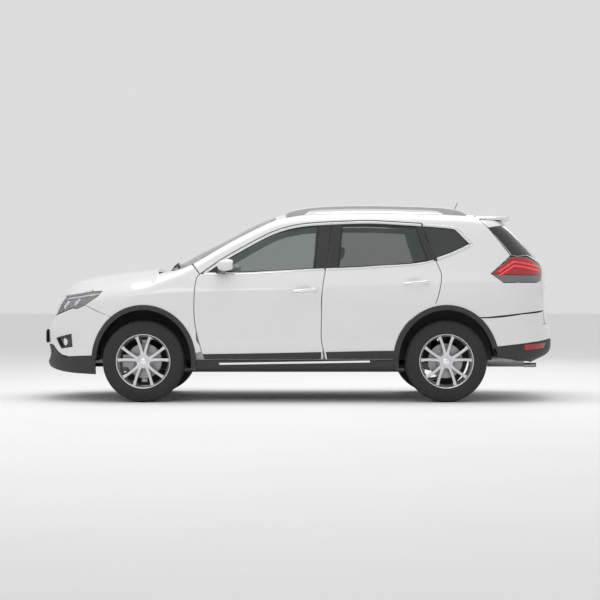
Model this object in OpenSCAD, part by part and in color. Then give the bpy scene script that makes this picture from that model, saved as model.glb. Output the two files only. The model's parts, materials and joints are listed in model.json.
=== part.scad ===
// Five-door family SUV, built as separate panels, glass, seats, running gear and wheels.
// Design grid: +X runs rearwards, +Y to the right-hand side, +Z up from the road.
// The body's outline tables are drawn on that grid and stretched to the sizes below.

/* [Overall] */
// Distance between the front and rear axles
wheelbase = 2700; // [2250:10:3240]
// From the front axle to the foremost point
front_overhang = 970; // [900:5:1100]
// From the rear axle to the rearmost point
rear_overhang = 1030; // [940:5:1160]
// Width over the door skins
body_width = 1840; // [1540:10:2200]
// Height of the roof rails above the road
body_height = 1772; // [1700:5:2000]

/* [Wheels] */
// Outer radius of the tyres
tyre_radius = 366; // [340:1:380]
// Width of the tyres
tyre_width = 225; // [190:1:235]
// Radius of the wheel rims at their outer flange
rim_radius = 247; // [206:1:280]
// Radius of the circle that the wheel bolts stand on
bolt_circle_radius = 57; // [48:1:68]
// Radius of the brake discs
disc_radius = 155; // [130:1:175]

/* [Body panels] */
// Gap between neighbouring panels
panel_gap = 6; // [5:0.5:7]
// Thickness of the single skins: wings and bumpers
skin = 4; // [3:0.5:5]
// Thickness of a door along its edges
door_edge = 30; // [25:1:35]
// Thickness of a door across its trimmed middle
door_depth = 110; // [92:1:132]
// Thickness of the windows
glass = 5; // [4:0.5:6]
// Thickness of the roof, with its lining
roof_depth = 24; // [20:1:29]
// Thickness of the bonnet with its frame
bonnet_depth = 26; // [22:1:31]
// Thickness of the tailgate with its trim
tailgate_depth = 44; // [37:1:52]
// Depth that the wheel arch trims stand proud of the body
trim_proud = 8; // [6:1:10]

/* [Joints] */
// Radius of the door hinge pins
pin_radius = 6; // [5:0.5:7]
// Running clearance of every pin in its bore
pin_clearance = 0.05; // [0.02:0.01:0.1]

/* [Hidden] */
$fn = 48;

// ---- Design grid -------------------------------------------------------------------------------
grid_front_axle = -1380;
grid_rear_axle = 1320;
front_axle = (front_overhang - rear_overhang - wheelbase) / 2;
rear_axle = front_axle + wheelbase;
half_width = body_width / 2;
track_y = half_width - tyre_width / 2 - 11;

// Grid to real size, along each axis
function gx(x) = x < grid_front_axle ? front_axle + (x - grid_front_axle) * front_overhang / 970
  : x > grid_rear_axle ? rear_axle + (x - grid_rear_axle) * rear_overhang / 1030
  : front_axle + (x - grid_front_axle) * wheelbase / 2700;
function gy(y) = y * body_width / 1840;
function gz(z) = z * body_height / 1772;
function g2(p) = [gx(p[0]), gz(p[1])];

// ---- Curves ------------------------------------------------------------------------------------
function clamp(v, low = 0, high = 1) = min(high, max(low, v));
function mix(a, b, t) = a + (b - a) * t;
function interval(x, p, i = 0) = i >= len(p) - 2 || x < p[i + 1][0] ? i : interval(x, p, i + 1);
function slope(p, i) = let(a = max(i - 1, 0), b = min(i + 1, len(p) - 1)) (p[b][1] - p[a][1]) / (p[b][0] - p[a][0]);

// Smooth value at x of a table of [x, value]
function value(x, p) = let(
    i = interval(x, p), h = p[i + 1][0] - p[i][0], t = clamp((x - p[i][0]) / h),
    m0 = slope(p, i) * h, m1 = slope(p, i + 1) * h, t2 = t * t, t3 = t2 * t
  ) (2 * t3 - 3 * t2 + 1) * p[i][1] + (t3 - 2 * t2 + t) * m0 + (3 * t2 - 2 * t3) * p[i + 1][1] + (t3 - t2) * m1;

// Smooth line through points, with n steps between each two
function through(p, n = 2) = let(last = len(p) - 1) concat(
    [for (i = [0:last - 1], k = [0:n - 1]) let(
        t = k / n, a = p[max(i - 1, 0)], b = p[i], c = p[i + 1], d = p[min(i + 2, last)]
      ) 0.5 * (2 * b + (c - a) * t + (2 * a - 5 * b + 4 * c - d) * t * t + (3 * b - a - 3 * c + d) * t * t * t)],
    [p[last]]
  );
// Outline without repeated neighbours
function outline(p) = [for (i = [0:len(p) - 1]) if (norm(p[i] - p[(i + 1) % len(p)]) > 0.01) p[i]];
function reversed(p) = [for (i = [len(p) - 1:-1:0]) p[i]];
function swapped(p) = [for (q = p) [q[1], q[0]]];

// ---- The body's surface ------------------------------------------------------------------------
// Half width at the waist along the car
waist = [[-2350, 900], [-1380, 918], [-900, 907], [0, 916], [700, 920], [1320, 921], [1800, 905], [2350, 880]];
// Share of the waist's width at each height
section = [
  [200, 0.925], [300, 0.955], [400, 0.975], [470, 0.984], [520, 0.978], [570, 0.970], [640, 0.974], [750, 0.988],
  [850, 0.996], [930, 0.995], [1000, 0.985], [1080, 0.960], [1177, 0.917], [1300, 0.868], [1400, 0.828],
  [1500, 0.787], [1600, 0.742], [1650, 0.712], [1700, 0.672], [1760, 0.600]
];
// Upper edge of the body side: bonnet seam, screen pillar and roof edge
top_line = [
  [-2250, 945], [-2147, 957], [-1990, 975], [-1858, 1008], [-1709, 1052], [-1530, 1092], [-1341, 1120],
  [-1247, 1148], [-1090, 1180], [-949, 1236], [-608, 1435], [-378, 1556], [-217, 1630], [-60, 1670],
  [120, 1693], [561, 1708], [1000, 1703], [1290, 1694], [1538, 1676], [1700, 1650], [1900, 1600]
];
// How far, and from how far below, the side rolls in towards that edge
roll_in = [[-2250, 10], [-2050, 30], [-1858, 85], [-1700, 130], [-1400, 120], [-1247, 95], [-1090, 60], [-900, 45], [-300, 45], [0, 35], [1500, 35], [1900, 30]];
roll_height = [[-2250, 60], [-1858, 120], [-1700, 170], [-1300, 160], [-1090, 90], [-900, 80], [1900, 80]];
// Outline of the nose and of the tail along the centre line
nose_line = [[200, -2280], [300, -2325], [342, -2340], [385, -2326], [430, -2322], [520, -2335], [640, -2338], [760, -2295], [880, -2245], [965, -2200], [1250, -2120]];
tail_line = [[300, 2080], [363, 2210], [411, 2305], [460, 2342], [540, 2350], [590, 2347], [640, 2338], [680, 2318], [745, 2306], [811, 2296], [929, 2286], [1059, 2294], [1163, 2294], [1235, 2268], [1335, 2192], [1492, 2045], [1610, 1930], [1720, 1820]];
nose_length = 950;
tail_length = [[300, 650], [800, 620], [1100, 560], [1300, 420], [1500, 330], [1700, 300]];
bonnet_line = [[-2200, 985], [-2181, 1012], [-2089, 1074], [-1996, 1113], [-1864, 1140], [-1732, 1161], [-1600, 1177], [-1469, 1192], [-1336, 1201], [-1200, 1204]];
roof_line = [[-160, 1712], [100, 1735], [561, 1750], [1100, 1738], [1538, 1713], [1660, 1702]];

function nose_x(z) = value(z, nose_line);
function tail_x(z) = value(z, tail_line);
function top_z(x) = value(x, top_line);
function corner(s, n, m) = s >= 1 ? 1 : s <= 0 ? 0 : pow(1 - pow(1 - s, n), 1 / m);
function roll(x, z) = let(h = value(x, roll_height)) value(x, roll_in) * pow(clamp((z - top_z(x) + h) / h, 0, 1.1), 2.5);
// Half width of the body at station x and height z
function side_y(x, z) = value(x, waist) * value(z, section) * corner((x - nose_x(z)) / nose_length, 2.6, 2.3)
  * corner((tail_x(z) - x) / value(z, tail_length), 3, 2.8) - roll(x, z);

// ---- Shells ------------------------------------------------------------------------------------
// Closed solid between two grids of (nu + 1) by (nv + 1) points
module shell(outer, inner, nu, nv, flip = false) {
  n = (nu + 1) * (nv + 1);
  id = function(i, j) i * (nv + 1) + j;
  quad = function(a, b, c, d) [[a, b, c], [a, c, d]];
  faces = concat(
    [for (i = [0:nu - 1], j = [0:nv - 1]) each quad(id(i, j), id(i + 1, j), id(i + 1, j + 1), id(i, j + 1))],
    [for (i = [0:nu - 1], j = [0:nv - 1]) each quad(n + id(i + 1, j), n + id(i, j), n + id(i, j + 1), n + id(i + 1, j + 1))],
    [for (i = [0:nu - 1]) each quad(id(i + 1, 0), id(i, 0), n + id(i, 0), n + id(i + 1, 0))],
    [for (i = [0:nu - 1]) each quad(id(i, nv), id(i + 1, nv), n + id(i + 1, nv), n + id(i, nv))],
    [for (j = [0:nv - 1]) each quad(id(nu, j + 1), id(nu, j), n + id(nu, j), n + id(nu, j + 1))],
    [for (j = [0:nv - 1]) each quad(id(0, j), id(0, j + 1), n + id(0, j + 1), n + id(0, j))]
  );
  polyhedron(points = concat(outer, inner), faces = flip ? [for (f = faces) [f[2], f[1], f[0]]] : faces);
}

// Right-hand side skin over stations x0..x1 and heights low(x)..high(x), from depth t0 to depth t1
module side_slab(x0, x1, low, high, nx, nz, t0, t1) {
  spot = function(i, j, t) let(x = mix(x0, x1, i / nx), z = mix(low(x), high(x), j / nz)) [gx(x), gy(side_y(x, z)) - t(x, z), gz(z)];
  shell([for (i = [0:nx], j = [0:nz]) spot(i, j, t0)], [for (i = [0:nx], j = [0:nz]) spot(i, j, t1)], nx, nz);
}

// Skin round the nose (end = -1) or tail (end = 1), between heights z0 and z1 and depths t0 and t1
module end_slab(end, z0, z1, a1, na, nz, t0, t1) {
  n = end < 0 ? 2.6 : 3;
  run = function(z) end < 0 ? nose_length : value(z, tail_length);
  spot = function(i, j, t) let(
      a = mix(-a1, a1, i / na), z = mix(z0, z1, j / nz), c = max(0, cos(a)), s = abs(a) > 90 ? 1 : abs(sin(a)),
      back = run(z) * (1 - pow(c, 2 / n)) + max(0, abs(a) - 90) * 6,
      x = end < 0 ? nose_x(z) + back : tail_x(z) - back
    ) [gx(x) - end * t * c, sign(a) * (gy(side_y(x, z)) - t * s), gz(z)];
  shell([for (i = [0:na], j = [0:nz]) spot(i, j, t0)], [for (i = [0:na], j = [0:nz]) spot(i, j, t1)], na, nz, end > 0);
}

// Cuts and keeps a curved panel as one closed mesh
module panel() resize([0, 0, 0]) children();
module right(side) mirror([0, side < 0 ? 1 : 0, 0]) children();
// An outline in the side view, cut through from y0 to y1
module cut_y(points, y0 = 0, y1 = 1300) translate([0, y1, 0]) rotate([90, 0, 0]) linear_extrude(y1 - y0) polygon(points);
module grown_cut_y(points, by, y0 = 0, y1 = 1300) translate([0, y1, 0]) rotate([90, 0, 0]) linear_extrude(y1 - y0) offset(delta = by) polygon(points);
// An outline in the end view, cut through from x0 to x1
module cut_x(points, x0, x1) translate([x0, 0, 0]) rotate([90, 0, 90]) linear_extrude(x1 - x0) polygon(points);

level = function(z) function(x) z;
depth = function(t) function(x, z) t;
roof_edge = function(x) top_z(x);

// ---- Outlines in the side view -----------------------------------------------------------------
door_bottom = 383;
front_door_front = [[-837, 383], [-882, 540], [-912, 667], [-924, 780], [-925, 894], [-917, 1031], [-902, 1110], [-871, 1145]];
front_door_top = [[-871, 1145], [-683, 1277], [-490, 1390], [-261, 1512], [-89, 1573], [85, 1603], [304, 1618]];
pillar_line = [[242, 383], [225, 463], [208, 542], [205, 660], [208, 780], [210, 928], [225, 1076], [243, 1173], [267, 1317], [304, 1618]];
rear_door_top = [[304, 1618], [559, 1627], [758, 1624], [1110, 1602]];
rear_door_rear = [[1208, 851], [1241, 941], [1266, 1040], [1276, 1115], [1269, 1166], [1234, 1255], [1159, 1446], [1110, 1602]];
front_window = [[-800, 1158], [-672, 1262], [-483, 1372], [-258, 1492], [-89, 1550], [85, 1580], [188, 1587]];
belt_line = [[-852, 1143], [-520, 1143], [-258, 1156], [84, 1174], [238, 1180], [552, 1192], [749, 1206], [1026, 1224], [1228, 1262], [1516, 1385]];
arch_rx = 436;
arch_rz = 468;
trim_rx = 470;
trim_rz = 502;

function shift(p, dx) = [for (q = p) [q[0] + dx, q[1]]];
function to_real(p) = outline([for (q = p) g2(q)]);
// Points of a wheel arch of half width rx and height rz over an axle, in real sizes
function arch(axle, rx, rz, a0, a1, n = 14) = [for (i = [0:n]) let(a = mix(a0, a1, i / n)) [axle + rx * cos(a), tyre_radius + rz * sin(a)]];

front_door_outline = to_real(concat(
  through(front_door_front), through(front_door_top), through(shift(reversed(pillar_line), -panel_gap / 2))
));
// The rear door's lower corner follows the arch, clear of the arch trim
function rear_door_outline() = outline(concat(
  to_real(concat(through(shift(pillar_line, panel_gap / 2)), through(rear_door_top), through(reversed(rear_door_rear)))),
  arch(rear_axle, trim_rx + panel_gap, trim_rz + panel_gap, 102, 176),
  [g2([842, 383])]
));
front_glass_outline = to_real(concat([[-790, 1150]], through(front_window), [[168, 1317], [150, 1185]], [[-260, 1164], [-520, 1152]]));
rear_glass_outline = to_real([[392, 1592], [758, 1590], [900, 1585], [1062, 1575], [1105, 1440], [1170, 1264], [1026, 1234], [749, 1214], [552, 1202], [352, 1194]]);
quarter_outline = to_real(concat(
  [[1240, 1275], [1165, 1460], [1133, 1572]], [[1390, 1552], [1430, 1532]], [[1530, 1420], [1528, 1400]], [[1380, 1330]]
));
tailgate_side = [[1640, 1760], [1640, 1640], [1711, 1566], [1905, 1312], [1960, 1300], [2060, 1316], [2200, 1240], [2217, 1157], [2198, 1087], [2236, 820], [2250, 700]];
tail_lamp_outline = to_real([[1720, 1147], [1887, 1293], [1912, 1303], [2056, 1306], [2194, 1234], [2210, 1157], [2192, 1087], [2150, 1068], [1834, 1063]]);
headlamp_outline = to_real([[-2252, 764], [-2239, 839], [-2207, 906], [-2147, 946], [-1990, 964], [-1858, 990], [-1760, 993], [-1798, 941], [-1901, 872], [-1996, 836], [-2038, 842]]);

function front_x(z) = value(z, swapped(front_door_front));
function rear_x(z) = value(z, swapped(pillar_line));
// How deep the outer side panels are: thin along the screen pillars
function side_depth(x) = x < -150 ? 18 : 40;
// The solid inside of the body, from a depth below its side surface to the middle
module interior(t, x0, x1, z0, z1, nx = 20, nz = 8) for (side = [-1, 1]) right(side)
  side_slab(x0, x1, level(z0), level(z1), nx, nz, depth(t), function(x, z) gy(side_y(x, z)) + 1);
module block(x0, x1, y0, y1, z0, z1) translate([gx(x0), gy(y0), gz(z0)]) cube([gx(x1) - gx(x0), gy(y1) - gy(y0), gz(z1) - gz(z0)]);
// A wheel arch opening, grown by g, cut from y0 outwards
module arch_cut(axle, g, y0, a0 = 180, a1 = 0) cut_y(
  concat([[axle + (arch_rx + g) * cos(a0), 0]], arch(axle, arch_rx + g, arch_rz + g, a0, a1, 20), [[axle + (arch_rx + g) * cos(a1), 0]]), y0);

// ---- Doors -------------------------------------------------------------------------------------
hinge_heights = [gz(700), gz(955)];
hinge_half = 34;
hinge_back = 30;
hinge_in = 22;
hinge_arm = 17;
front_hinge_x = gx(-925) + hinge_back;
front_hinge_y = gy(side_y(-905, 700)) - hinge_in;
rear_hinge_x = gx(205) + panel_gap / 2 + hinge_back;
rear_hinge_y = gy(side_y(225, 700)) - hinge_in;

// Room for the hinges, and the bores that their pins run in
module hinge_room(x, y) for (z = hinge_heights) {
  translate([x - 40, y - 130, z - hinge_half]) cube([58, 130 + 13, 2 * hinge_half]);
  translate([x, y, z - 2 * hinge_half]) bore(pin_radius, 4 * hinge_half);
}
// A many-sided bore whose flats clear a pin of radius r
module bore(r, h, n = 16) cylinder(r = (r + pin_clearance) / cos(180 / n), h = h, $fn = n);
// Knuckles of the door above and below each hinge arm
module hinge_lugs(x, y) for (z = hinge_heights, s = [-1, 1]) translate([x, y, z + s * (hinge_half + 15) - 15]) {
  cylinder(r = 12, h = 30, $fn = 12);
  translate([0, -12, 0]) cube([40, 28, 30]);
}
// Insets from a door's front and rear edges at which its depth changes
door_insets = [0, 26, 27, 75, 135];
// A door between its front edge x0(z) and rear edge x1(z), at the given heights, with top(x) as its last row:
// a thin lip at both edges, a thicker frame inside it and the trimmed middle
module door_slab(x0, x1, heights, top) {
  n = len(door_insets);
  nu = 2 * n + 1;
  nv = len(heights);
  in_at = function(i, w) i < n ? door_insets[i] : w - door_insets[nu - i];
  spot = function(i, j, inner) let(
      h = heights[min(j, nv - 1)], w = x1(h) - x0(h), k = min(1, w / 330),
      u = i < n || i > nu - n ? (i < n ? door_insets[i] * k : w - door_insets[nu - i] * k)
        : mix(door_insets[n - 1] * k, w - door_insets[n - 1] * k, (i - n + 1) / (nu + 2 - 2 * n)),
      x = x0(h) + u, z = j < nv ? h : top(x), edge = min(u, w - u) / k,
      deep = edge < 26.5 ? 4 : mix(door_edge, door_depth, clamp(min((edge - 75) / 60, (h - door_bottom - 75) / 60, (1105 - h) / 60)))
    ) [gx(x), gy(side_y(x, z)) - (inner ? deep : 0), gz(z)];
  shell([for (i = [0:nu], j = [0:nv]) spot(i, j, false)], [for (i = [0:nu], j = [0:nv]) spot(i, j, true)], nu, nv);
}

// Front edge of the front door, then its upper edge, by height
function front_door_x(z) = z < 1145 ? value(z, swapped(front_door_front)) : value(z, swapped(front_door_top));
// Grid position of a real station between the axles
function grid_x(x) = grid_front_axle + (x - front_axle) * 2700 / wheelbase;
// Rear edge of the rear door: round the arch trim, then up its own line
function rear_door_x(z) = let(h = (gz(z) - tyre_radius) / (trim_rz + panel_gap)) min(
  value(z, swapped(rear_door_rear)), h < 1 ? grid_x(rear_axle - (trim_rx + panel_gap) * sqrt(1 - h * h)) : 9999);

front_rows = [383, 458, 520, 620, 740, 860, 980, 1045, 1105, 1145, 1240, 1370, 1480, 1560, 1595, 1612];
rear_rows = [383, 458, 520, 600, 680, 760, 820, 858, 900, 980, 1045, 1105, 1180, 1320, 1460, 1560, 1598];
module front_door() panel() difference() {
  union() {
    door_slab(function(z) front_door_x(z), function(z) rear_x(z) - panel_gap / 2, front_rows, function(x) 1616);
    hinge_lugs(front_hinge_x, front_hinge_y);
  }
  cut_y(front_glass_outline, 300);
  hinge_room(front_hinge_x, front_hinge_y);
  // room for the rear door's front edge as it swings
  cut_y(to_real([[218, 467], [218, 370], [260, 370], [260, 467]]), 300);
  cut_y(to_real([[203.4, 845], [203.8, 900], [207, 960], [240, 960], [240, 845]]), 300);
}
module rear_door() panel() difference() {
  union() {
    door_slab(function(z) rear_x(z) + panel_gap / 2, function(z) rear_door_x(z), rear_rows, function(x) value(x, rear_door_top));
    hinge_lugs(rear_hinge_x, rear_hinge_y);
  }
  cut_y(rear_glass_outline, 300);
  hinge_room(rear_hinge_x, rear_hinge_y);
}

module door_glass(points, x0, x1) panel() intersection() {
  side_slab(x0, x1, level(1130), level(1610), 5, 4, depth(12), depth(12 + glass));
  grown_cut_y(points, -0.3, 300);
}

mirror_y = gy(side_y(-700, 1150));
module door_mirror() panel() union() {
  translate([gx(-690), mirror_y, gz(1190)]) hull() {
    translate([4, 70, -10]) sphere(r = 22, $fn = 14);
    translate([60, 68, 58]) sphere(r = 30, $fn = 14);
    translate([66, 168, 52]) sphere(r = 28, $fn = 14);
    translate([26, 176, -8]) sphere(r = 20, $fn = 14);
    translate([88, 70, -6]) sphere(r = 22, $fn = 14);
    translate([92, 166, -4]) sphere(r = 20, $fn = 14);
  }
  difference() {
    translate([gx(-712), gy(300), gz(1152)]) cube([62, mirror_y + 75 - gy(300), 26]);
    side_slab(-900, -500, level(1000), level(1300), 8, 6, depth(-0.3), depth(600));
  }
}

// ---- Side structure ----------------------------------------------------------------------------
// Outer side panel: screen pillar, roof edge and rear quarter
module body_side() panel() difference() {
  union() {
    side_slab(-945, 1160, level(1100), roof_edge, 18, 6, depth(0), function(x, z) side_depth(x));
    side_slab(1150, 2245, level(735), roof_edge, 9, 9, depth(0), depth(40));
  }
  grown_cut_y(front_door_outline, panel_gap, 300);
  grown_cut_y(rear_door_outline(), panel_gap, 300);
  cut_y(to_real([[-960, 1060], [-960, 1225], [-935, 1238], [-866, 1153], [-860, 1060]]), 300);
  cut_y(quarter_outline, 300);
  arch_cut(rear_axle, 0, 300);
  cut_y(to_real([[1400, 600], [1400, 757], [1697, 762], [2230, 819], [2300, 824], [2300, 600]]), 300);
  cut_y(to_real(concat(tailgate_side, [[2400, 700], [2400, 1760]])), -100);
  cut_y(to_real([[1960, 1290], [1960, 1340], [2300, 1340], [2300, 1180], [2190, 1230], [2056, 1300]]), -100);
  grown_cut_y(tail_lamp_outline, 0.7, 300);
}

// The frame sits deeper along the roof
function upper_set(z) = 16 * clamp((z - 1300) / 150);
frame_in = 50;
frame_depth = 55;
frame_end = frame_in + frame_depth;
front_opening = to_real(concat(
  [[-700, 430], [-800, 455], [-846, 560]], through([[-862, 667], [-864, 860], [-856, 1010], [-838, 1110], [-780, 1165]]),
  shift(front_window, 30), [[205, 1317], [178, 1173], [150, 928], [140, 660], [150, 520], [120, 430]]
));
rear_opening = to_real([[320, 430], [276, 542], [270, 928], [300, 1180], [345, 1590], [1055, 1575], [1170, 1240], [1200, 1060],
  [1185, 960], [1110, 850], [1000, 760], [880, 640], [815, 430]]);

// Inner frame that the doors close on: hinge pillar, centre pillar, sill and roof edge
module door_frame() panel() {
  difference() {
    side_slab(-990, 1330, level(300), function(x) min(1615, top_z(x) - 40), 15, 11, function(x, z) frame_in + upper_set(z),
      function(x, z) frame_end + upper_set(z));
    cut_y(front_opening, 300);
    cut_y(rear_opening, 300);
    cut_y(to_real([[-925, 295], [-925, 309], [-878, 309], [-878, 295]]), 300);
    arch_cut(rear_axle, 12, 300);
    arch_cut(front_axle, 12, 300);
    cut_y(to_real([[-1000, 1100], [-1000, 1300], [-640, 1660], [-500, 1660], [-640, 1420], [-850, 1200], [-905, 1100]]), 300);
  }
  // plates that the hinge arms stand on
  for (hinge = [[front_hinge_x, front_hinge_y], [rear_hinge_x, rear_hinge_y]], z = hinge_heights)
    translate([hinge[0] - 11, hinge[1] - hinge_arm - 40, z - hinge_half + 4]) cube([22, 40, 2 * hinge_half - 8]);
}

// Front wings, from the bumper seam to the doors
module front_wings() panel() for (side = [-1, 1]) right(side) difference() {
  side_slab(-1905, -840, level(430), roof_edge, 12, 8, depth(0), depth(skin));
  arch_cut(front_axle, 0, 300);
  cut_y(to_real([[-1950, 300], [-1950, 884], [-1905, 863], [-1600, 725], [-1600, 300]]), 300);
  cut_y(to_real(concat(shift(through(front_door_front), -panel_gap), [[-888, 1146], [-954, 1228], [-954, 1300], [-700, 1300], [-700, 383]])), 300);
  // room for the door's front edge as it swings
  cut_y(to_real([[-910, 540], [-910, 615], [-880, 615], [-880, 540]]), 300);
  grown_cut_y(headlamp_outline, 0.8, 100);
}

housing_front_y = gy(452);
housing_rear_y = gy(598);
module wheel_housings() panel() for (side = [-1, 1]) right(side) {
  housing(front_axle, housing_front_y, skin + 2, -1900, -900, 5, 180);
  housing(rear_axle, housing_rear_y, 43, 800, 1850, 5, 175);
}
module housing(axle, y0, t, x0, x1, a0, a1) {
  intersection() {
    side_slab(x0, x1, level(300), level(860), 7, 4, depth(t), function(x, z) gy(side_y(x, z)) - y0);
    cut_y(concat(arch(axle, arch_rx + 8, arch_rz + 8, a0, a1, 14), reversed(arch(axle, arch_rx + 4, arch_rz + 4, a0, a1, 14))), y0 - 1);
  }
  difference() {
    intersection() {
      arch_cut(axle, 6, y0);
      translate([axle - 500, y0, tyre_radius]) cube([1000, 3, 600]);
    }
    translate([axle - 120, y0 - 10, 0]) cube([240, 20, tyre_radius + 260]);
  }
}

floor_y = frame_end + 0.8;
floor_shape = to_real([
  [-960, 1080], [-960, 560], [-860, 300], [1040, 300], [1165, 560], [1200, 600], [2180, 600], [2180, 625],
  [1190, 625], [1140, 585], [1028, 325], [-845, 325], [-935, 565], [-935, 1080]
]);
module floor_pan() panel() difference() {
  intersection() {
    interior(floor_y, -970, 2190, 280, 1090, 14, 5);
    translate([0, half_width, 0]) rotate([90, 0, 0]) linear_extrude(2 * half_width) polygon(floor_shape);
  }
  for (side = [-1, 1]) right(side) {
    arch_cut(rear_axle, 10, housing_rear_y - 0.3);
    arch_cut(front_axle, 10, housing_front_y - 0.3);
    block(-975, -865, 776, 900, 335, 1100);
  }
}

// ---- Roof, screen and bonnet -------------------------------------------------------------------
roof_end = 1615;
module roof_panel() {
  nx = 10;
  ny = 10;
  spot = function(i, j, t) let(
      v = mix(-1, 1, j / ny), x = mix(-217 + 57 * (1 - v * v), roof_end, i / nx),
      edge = top_z(x), crown = 1 - pow(abs(v), 2.4)
    ) [gx(x), v * (gy(side_y(x, edge)) - 39.4), gz(mix(edge - 3, value(x, roof_line), crown)) - t];
  shell([for (i = [0:nx], j = [0:ny]) spot(i, j, 0)], [for (i = [0:nx], j = [0:ny]) spot(i, j, roof_depth)], nx, ny, true);
}

screen_centre = [[0, -1195], [0.25, -930], [0.52, -635], [0.73, -418], [1, -178]];
screen_centre_z = [[0, 1196], [0.25, 1346], [0.52, 1494], [0.73, 1612], [1, 1703]];
screen_edge = [[0, -1090], [0.25, -860], [0.52, -610], [0.73, -400], [1, -234]];
module windscreen() {
  nx = 7;
  ny = 8;
  spot = function(i, j, t) let(
      s = i / nx, v = mix(-1, 1, j / ny), xe = value(s, screen_edge), ze = top_z(xe), bow = 1 - v * v
    ) [gx(mix(xe, value(s, screen_centre), bow)) + t, v * (gy(side_y(xe, ze)) - 18.4), gz(mix(ze, value(s, screen_centre_z), bow)) - t];
  shell([for (i = [0:nx], j = [0:ny]) spot(i, j, 0)], [for (i = [0:nx], j = [0:ny]) spot(i, j, glass)], nx, ny, true);
}

bonnet_hinge = [gx(-1270), gz(1095)];
bonnet_lug_y = gy(704);
module bonnet() panel() difference() {
  nx = 11;
  ny = 12;
  spot = function(i, j, t) let(
      s = i / nx, v = mix(-1, 1, j / ny), x = mix(-2203, mix(-1300, -1250, v * v), pow(s, 1.6)),
      edge = top_z(x), y = gy(side_y(x, edge)) - skin - panel_gap
    ) [gx(x) + t * pow(1 - s, 8), v * y, gz(mix(edge, value(x, bonnet_line), 1 - pow(abs(v), 2.4))) - t
        * (6 + (bonnet_depth - 6) * min(1, s * 5) * (1 - pow(abs(v), 6)))];
  union() {
    shell([for (i = [0:nx], j = [0:ny]) spot(i, j, 0)], [for (i = [0:nx], j = [0:ny]) spot(i, j, 1)], nx, ny, true);
    for (side = [-1, 1]) right(side) translate([bonnet_hinge[0], bonnet_lug_y, bonnet_hinge[1]])
      hull() {
        rotate([-90, 0, 0]) cylinder(r = 13, h = 28, $fn = 16);
        translate([-13, 0, 40]) cube([26, 28, gz(1149) - bonnet_hinge[1] - 40]);
      }
  }
  for (side = [-1, 1]) right(side) translate([bonnet_hinge[0], bonnet_lug_y - 10, bonnet_hinge[1]])
    rotate([-90, 0, 0]) bore(pin_radius, 60);
}

// Plenum tray under the foot of the windscreen, carrying the bonnet's hinge pins
module cowl() {
  difference() {
    translate([0, bonnet_lug_y - 5, 0]) rotate([90, 0, 0]) linear_extrude(2 * bonnet_lug_y - 10)
      polygon(to_real([[-1290, 1118], [-1290, 1080.3], [-930, 1080.3], [-930, 1096], [-1100, 1100], [-1200, 1128]]));
    // room for the bonnet's rear corners as it opens
    for (side = [-1, 1]) right(side) block(-1260, -1208, 620, 740, 1114, 1160);
  }
  for (side = [-1, 1]) right(side) translate([bonnet_hinge[0], bonnet_lug_y - 6, bonnet_hinge[1]])
    rotate([-90, 0, 0]) cylinder(r = pin_radius, h = 36);
}

// ---- Nose --------------------------------------------------------------------------------------
grille_half = 440;
module grille_hole(grow) cut_x([for (p = [[-330, 640], [330, 640], [grille_half, 985], [-grille_half, 985]])
  [gy(p[0]) + sign(p[0]) * grow, gz(p[1]) + (p[1] > 800 ? grow : -grow)]], gx(-2400), gx(-1900));
fog_outline = to_real([[-2204, 565], [-2046, 603], [-2036, 494], [-2148, 475]]);
bumper_seam = to_real([[-2215, 938], [-2147, 945], [-2000, 958], [-1885, 995], [-1914, 862], [-1600, 719], [-1300, 719], [-1300, 1100], [-2300, 1100], [-2300, 938]]);

// Way through a bumper to the thread of the towing eye behind it
tow_thread = 8;
tow_way = tow_thread + 6;
module tow_opening(x, y, z) translate([gx(x), gy(y), gz(z)]) rotate([0, 90, 0]) cylinder(r = tow_way, h = 200);

module front_bumper() panel() difference() {
  end_slab(-1, 245, 950, 84, 18, 9, 0, skin);
  tow_opening(-2406, 372, 485);
  grille_hole(2);
  for (side = [-1, 1]) right(side) {
    grown_cut_y(headlamp_outline, 4, 60);
    cut_y(bumper_seam, 60);
    cut_y(fog_outline, 300);
    arch_cut(front_axle, 0, 300);
    cut_y(to_real([[-1850, 200], [-1850, 600], [-1300, 600], [-1300, 200]]), 300);
  }
}

module grille() panel() intersection() {
  end_slab(-1, 640, 939, 40, 12, 6, 2, 28);
  grille_hole(1.5);
}

module headlamps() panel() for (side = [-1, 1]) right(side) difference() {
  intersection() {
    end_slab(-1, 750, 998, 88, 18, 4, 2, 50);
    cut_y(headlamp_outline, 200);
  }
  grille_hole(5);
}

module fog_lamps() panel() for (side = [-1, 1]) right(side) intersection() {
  end_slab(-1, 470, 610, 70, 16, 3, 8, 45);
  grown_cut_y(fog_outline, 8, 300);
}

// Chassis legs, crash beam and radiator panel
module front_frame() {
  difference() {
    union() {
      for (side = [-1, 1]) right(side) {
        block(-2165, -949, 335, 393, 440, 530);
        block(-2095, -2060, 336, 430, 440, 870);
        block(-1700, -1650, 390, 451.7, 480, 520);
      }
      block(-2205, -2165, -418, 418, 430, 540);
      block(-2095, -2060, -430, 430, 840, 890);
      block(-2095, -2060, -430, 430, 395, 440);
    }
    translate([gx(-2215), gy(372), gz(485)]) rotate([0, 90, 0]) cylinder(r = tow_thread, h = 100);
  }
}
module radiator() block(-2090, -2045, -334.5, 334.5, 440.3, 839.7);
module engine() {
  block(-1900, -1480, -320, 330, 330, 860);
  block(-1860, -1520, -300, 300, 855, 950);
  block(-1700, -1450, -330, -100, 250, 600);
  block(-1750, -1650, -334.7, 334.7, 460, 520);
}

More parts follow.
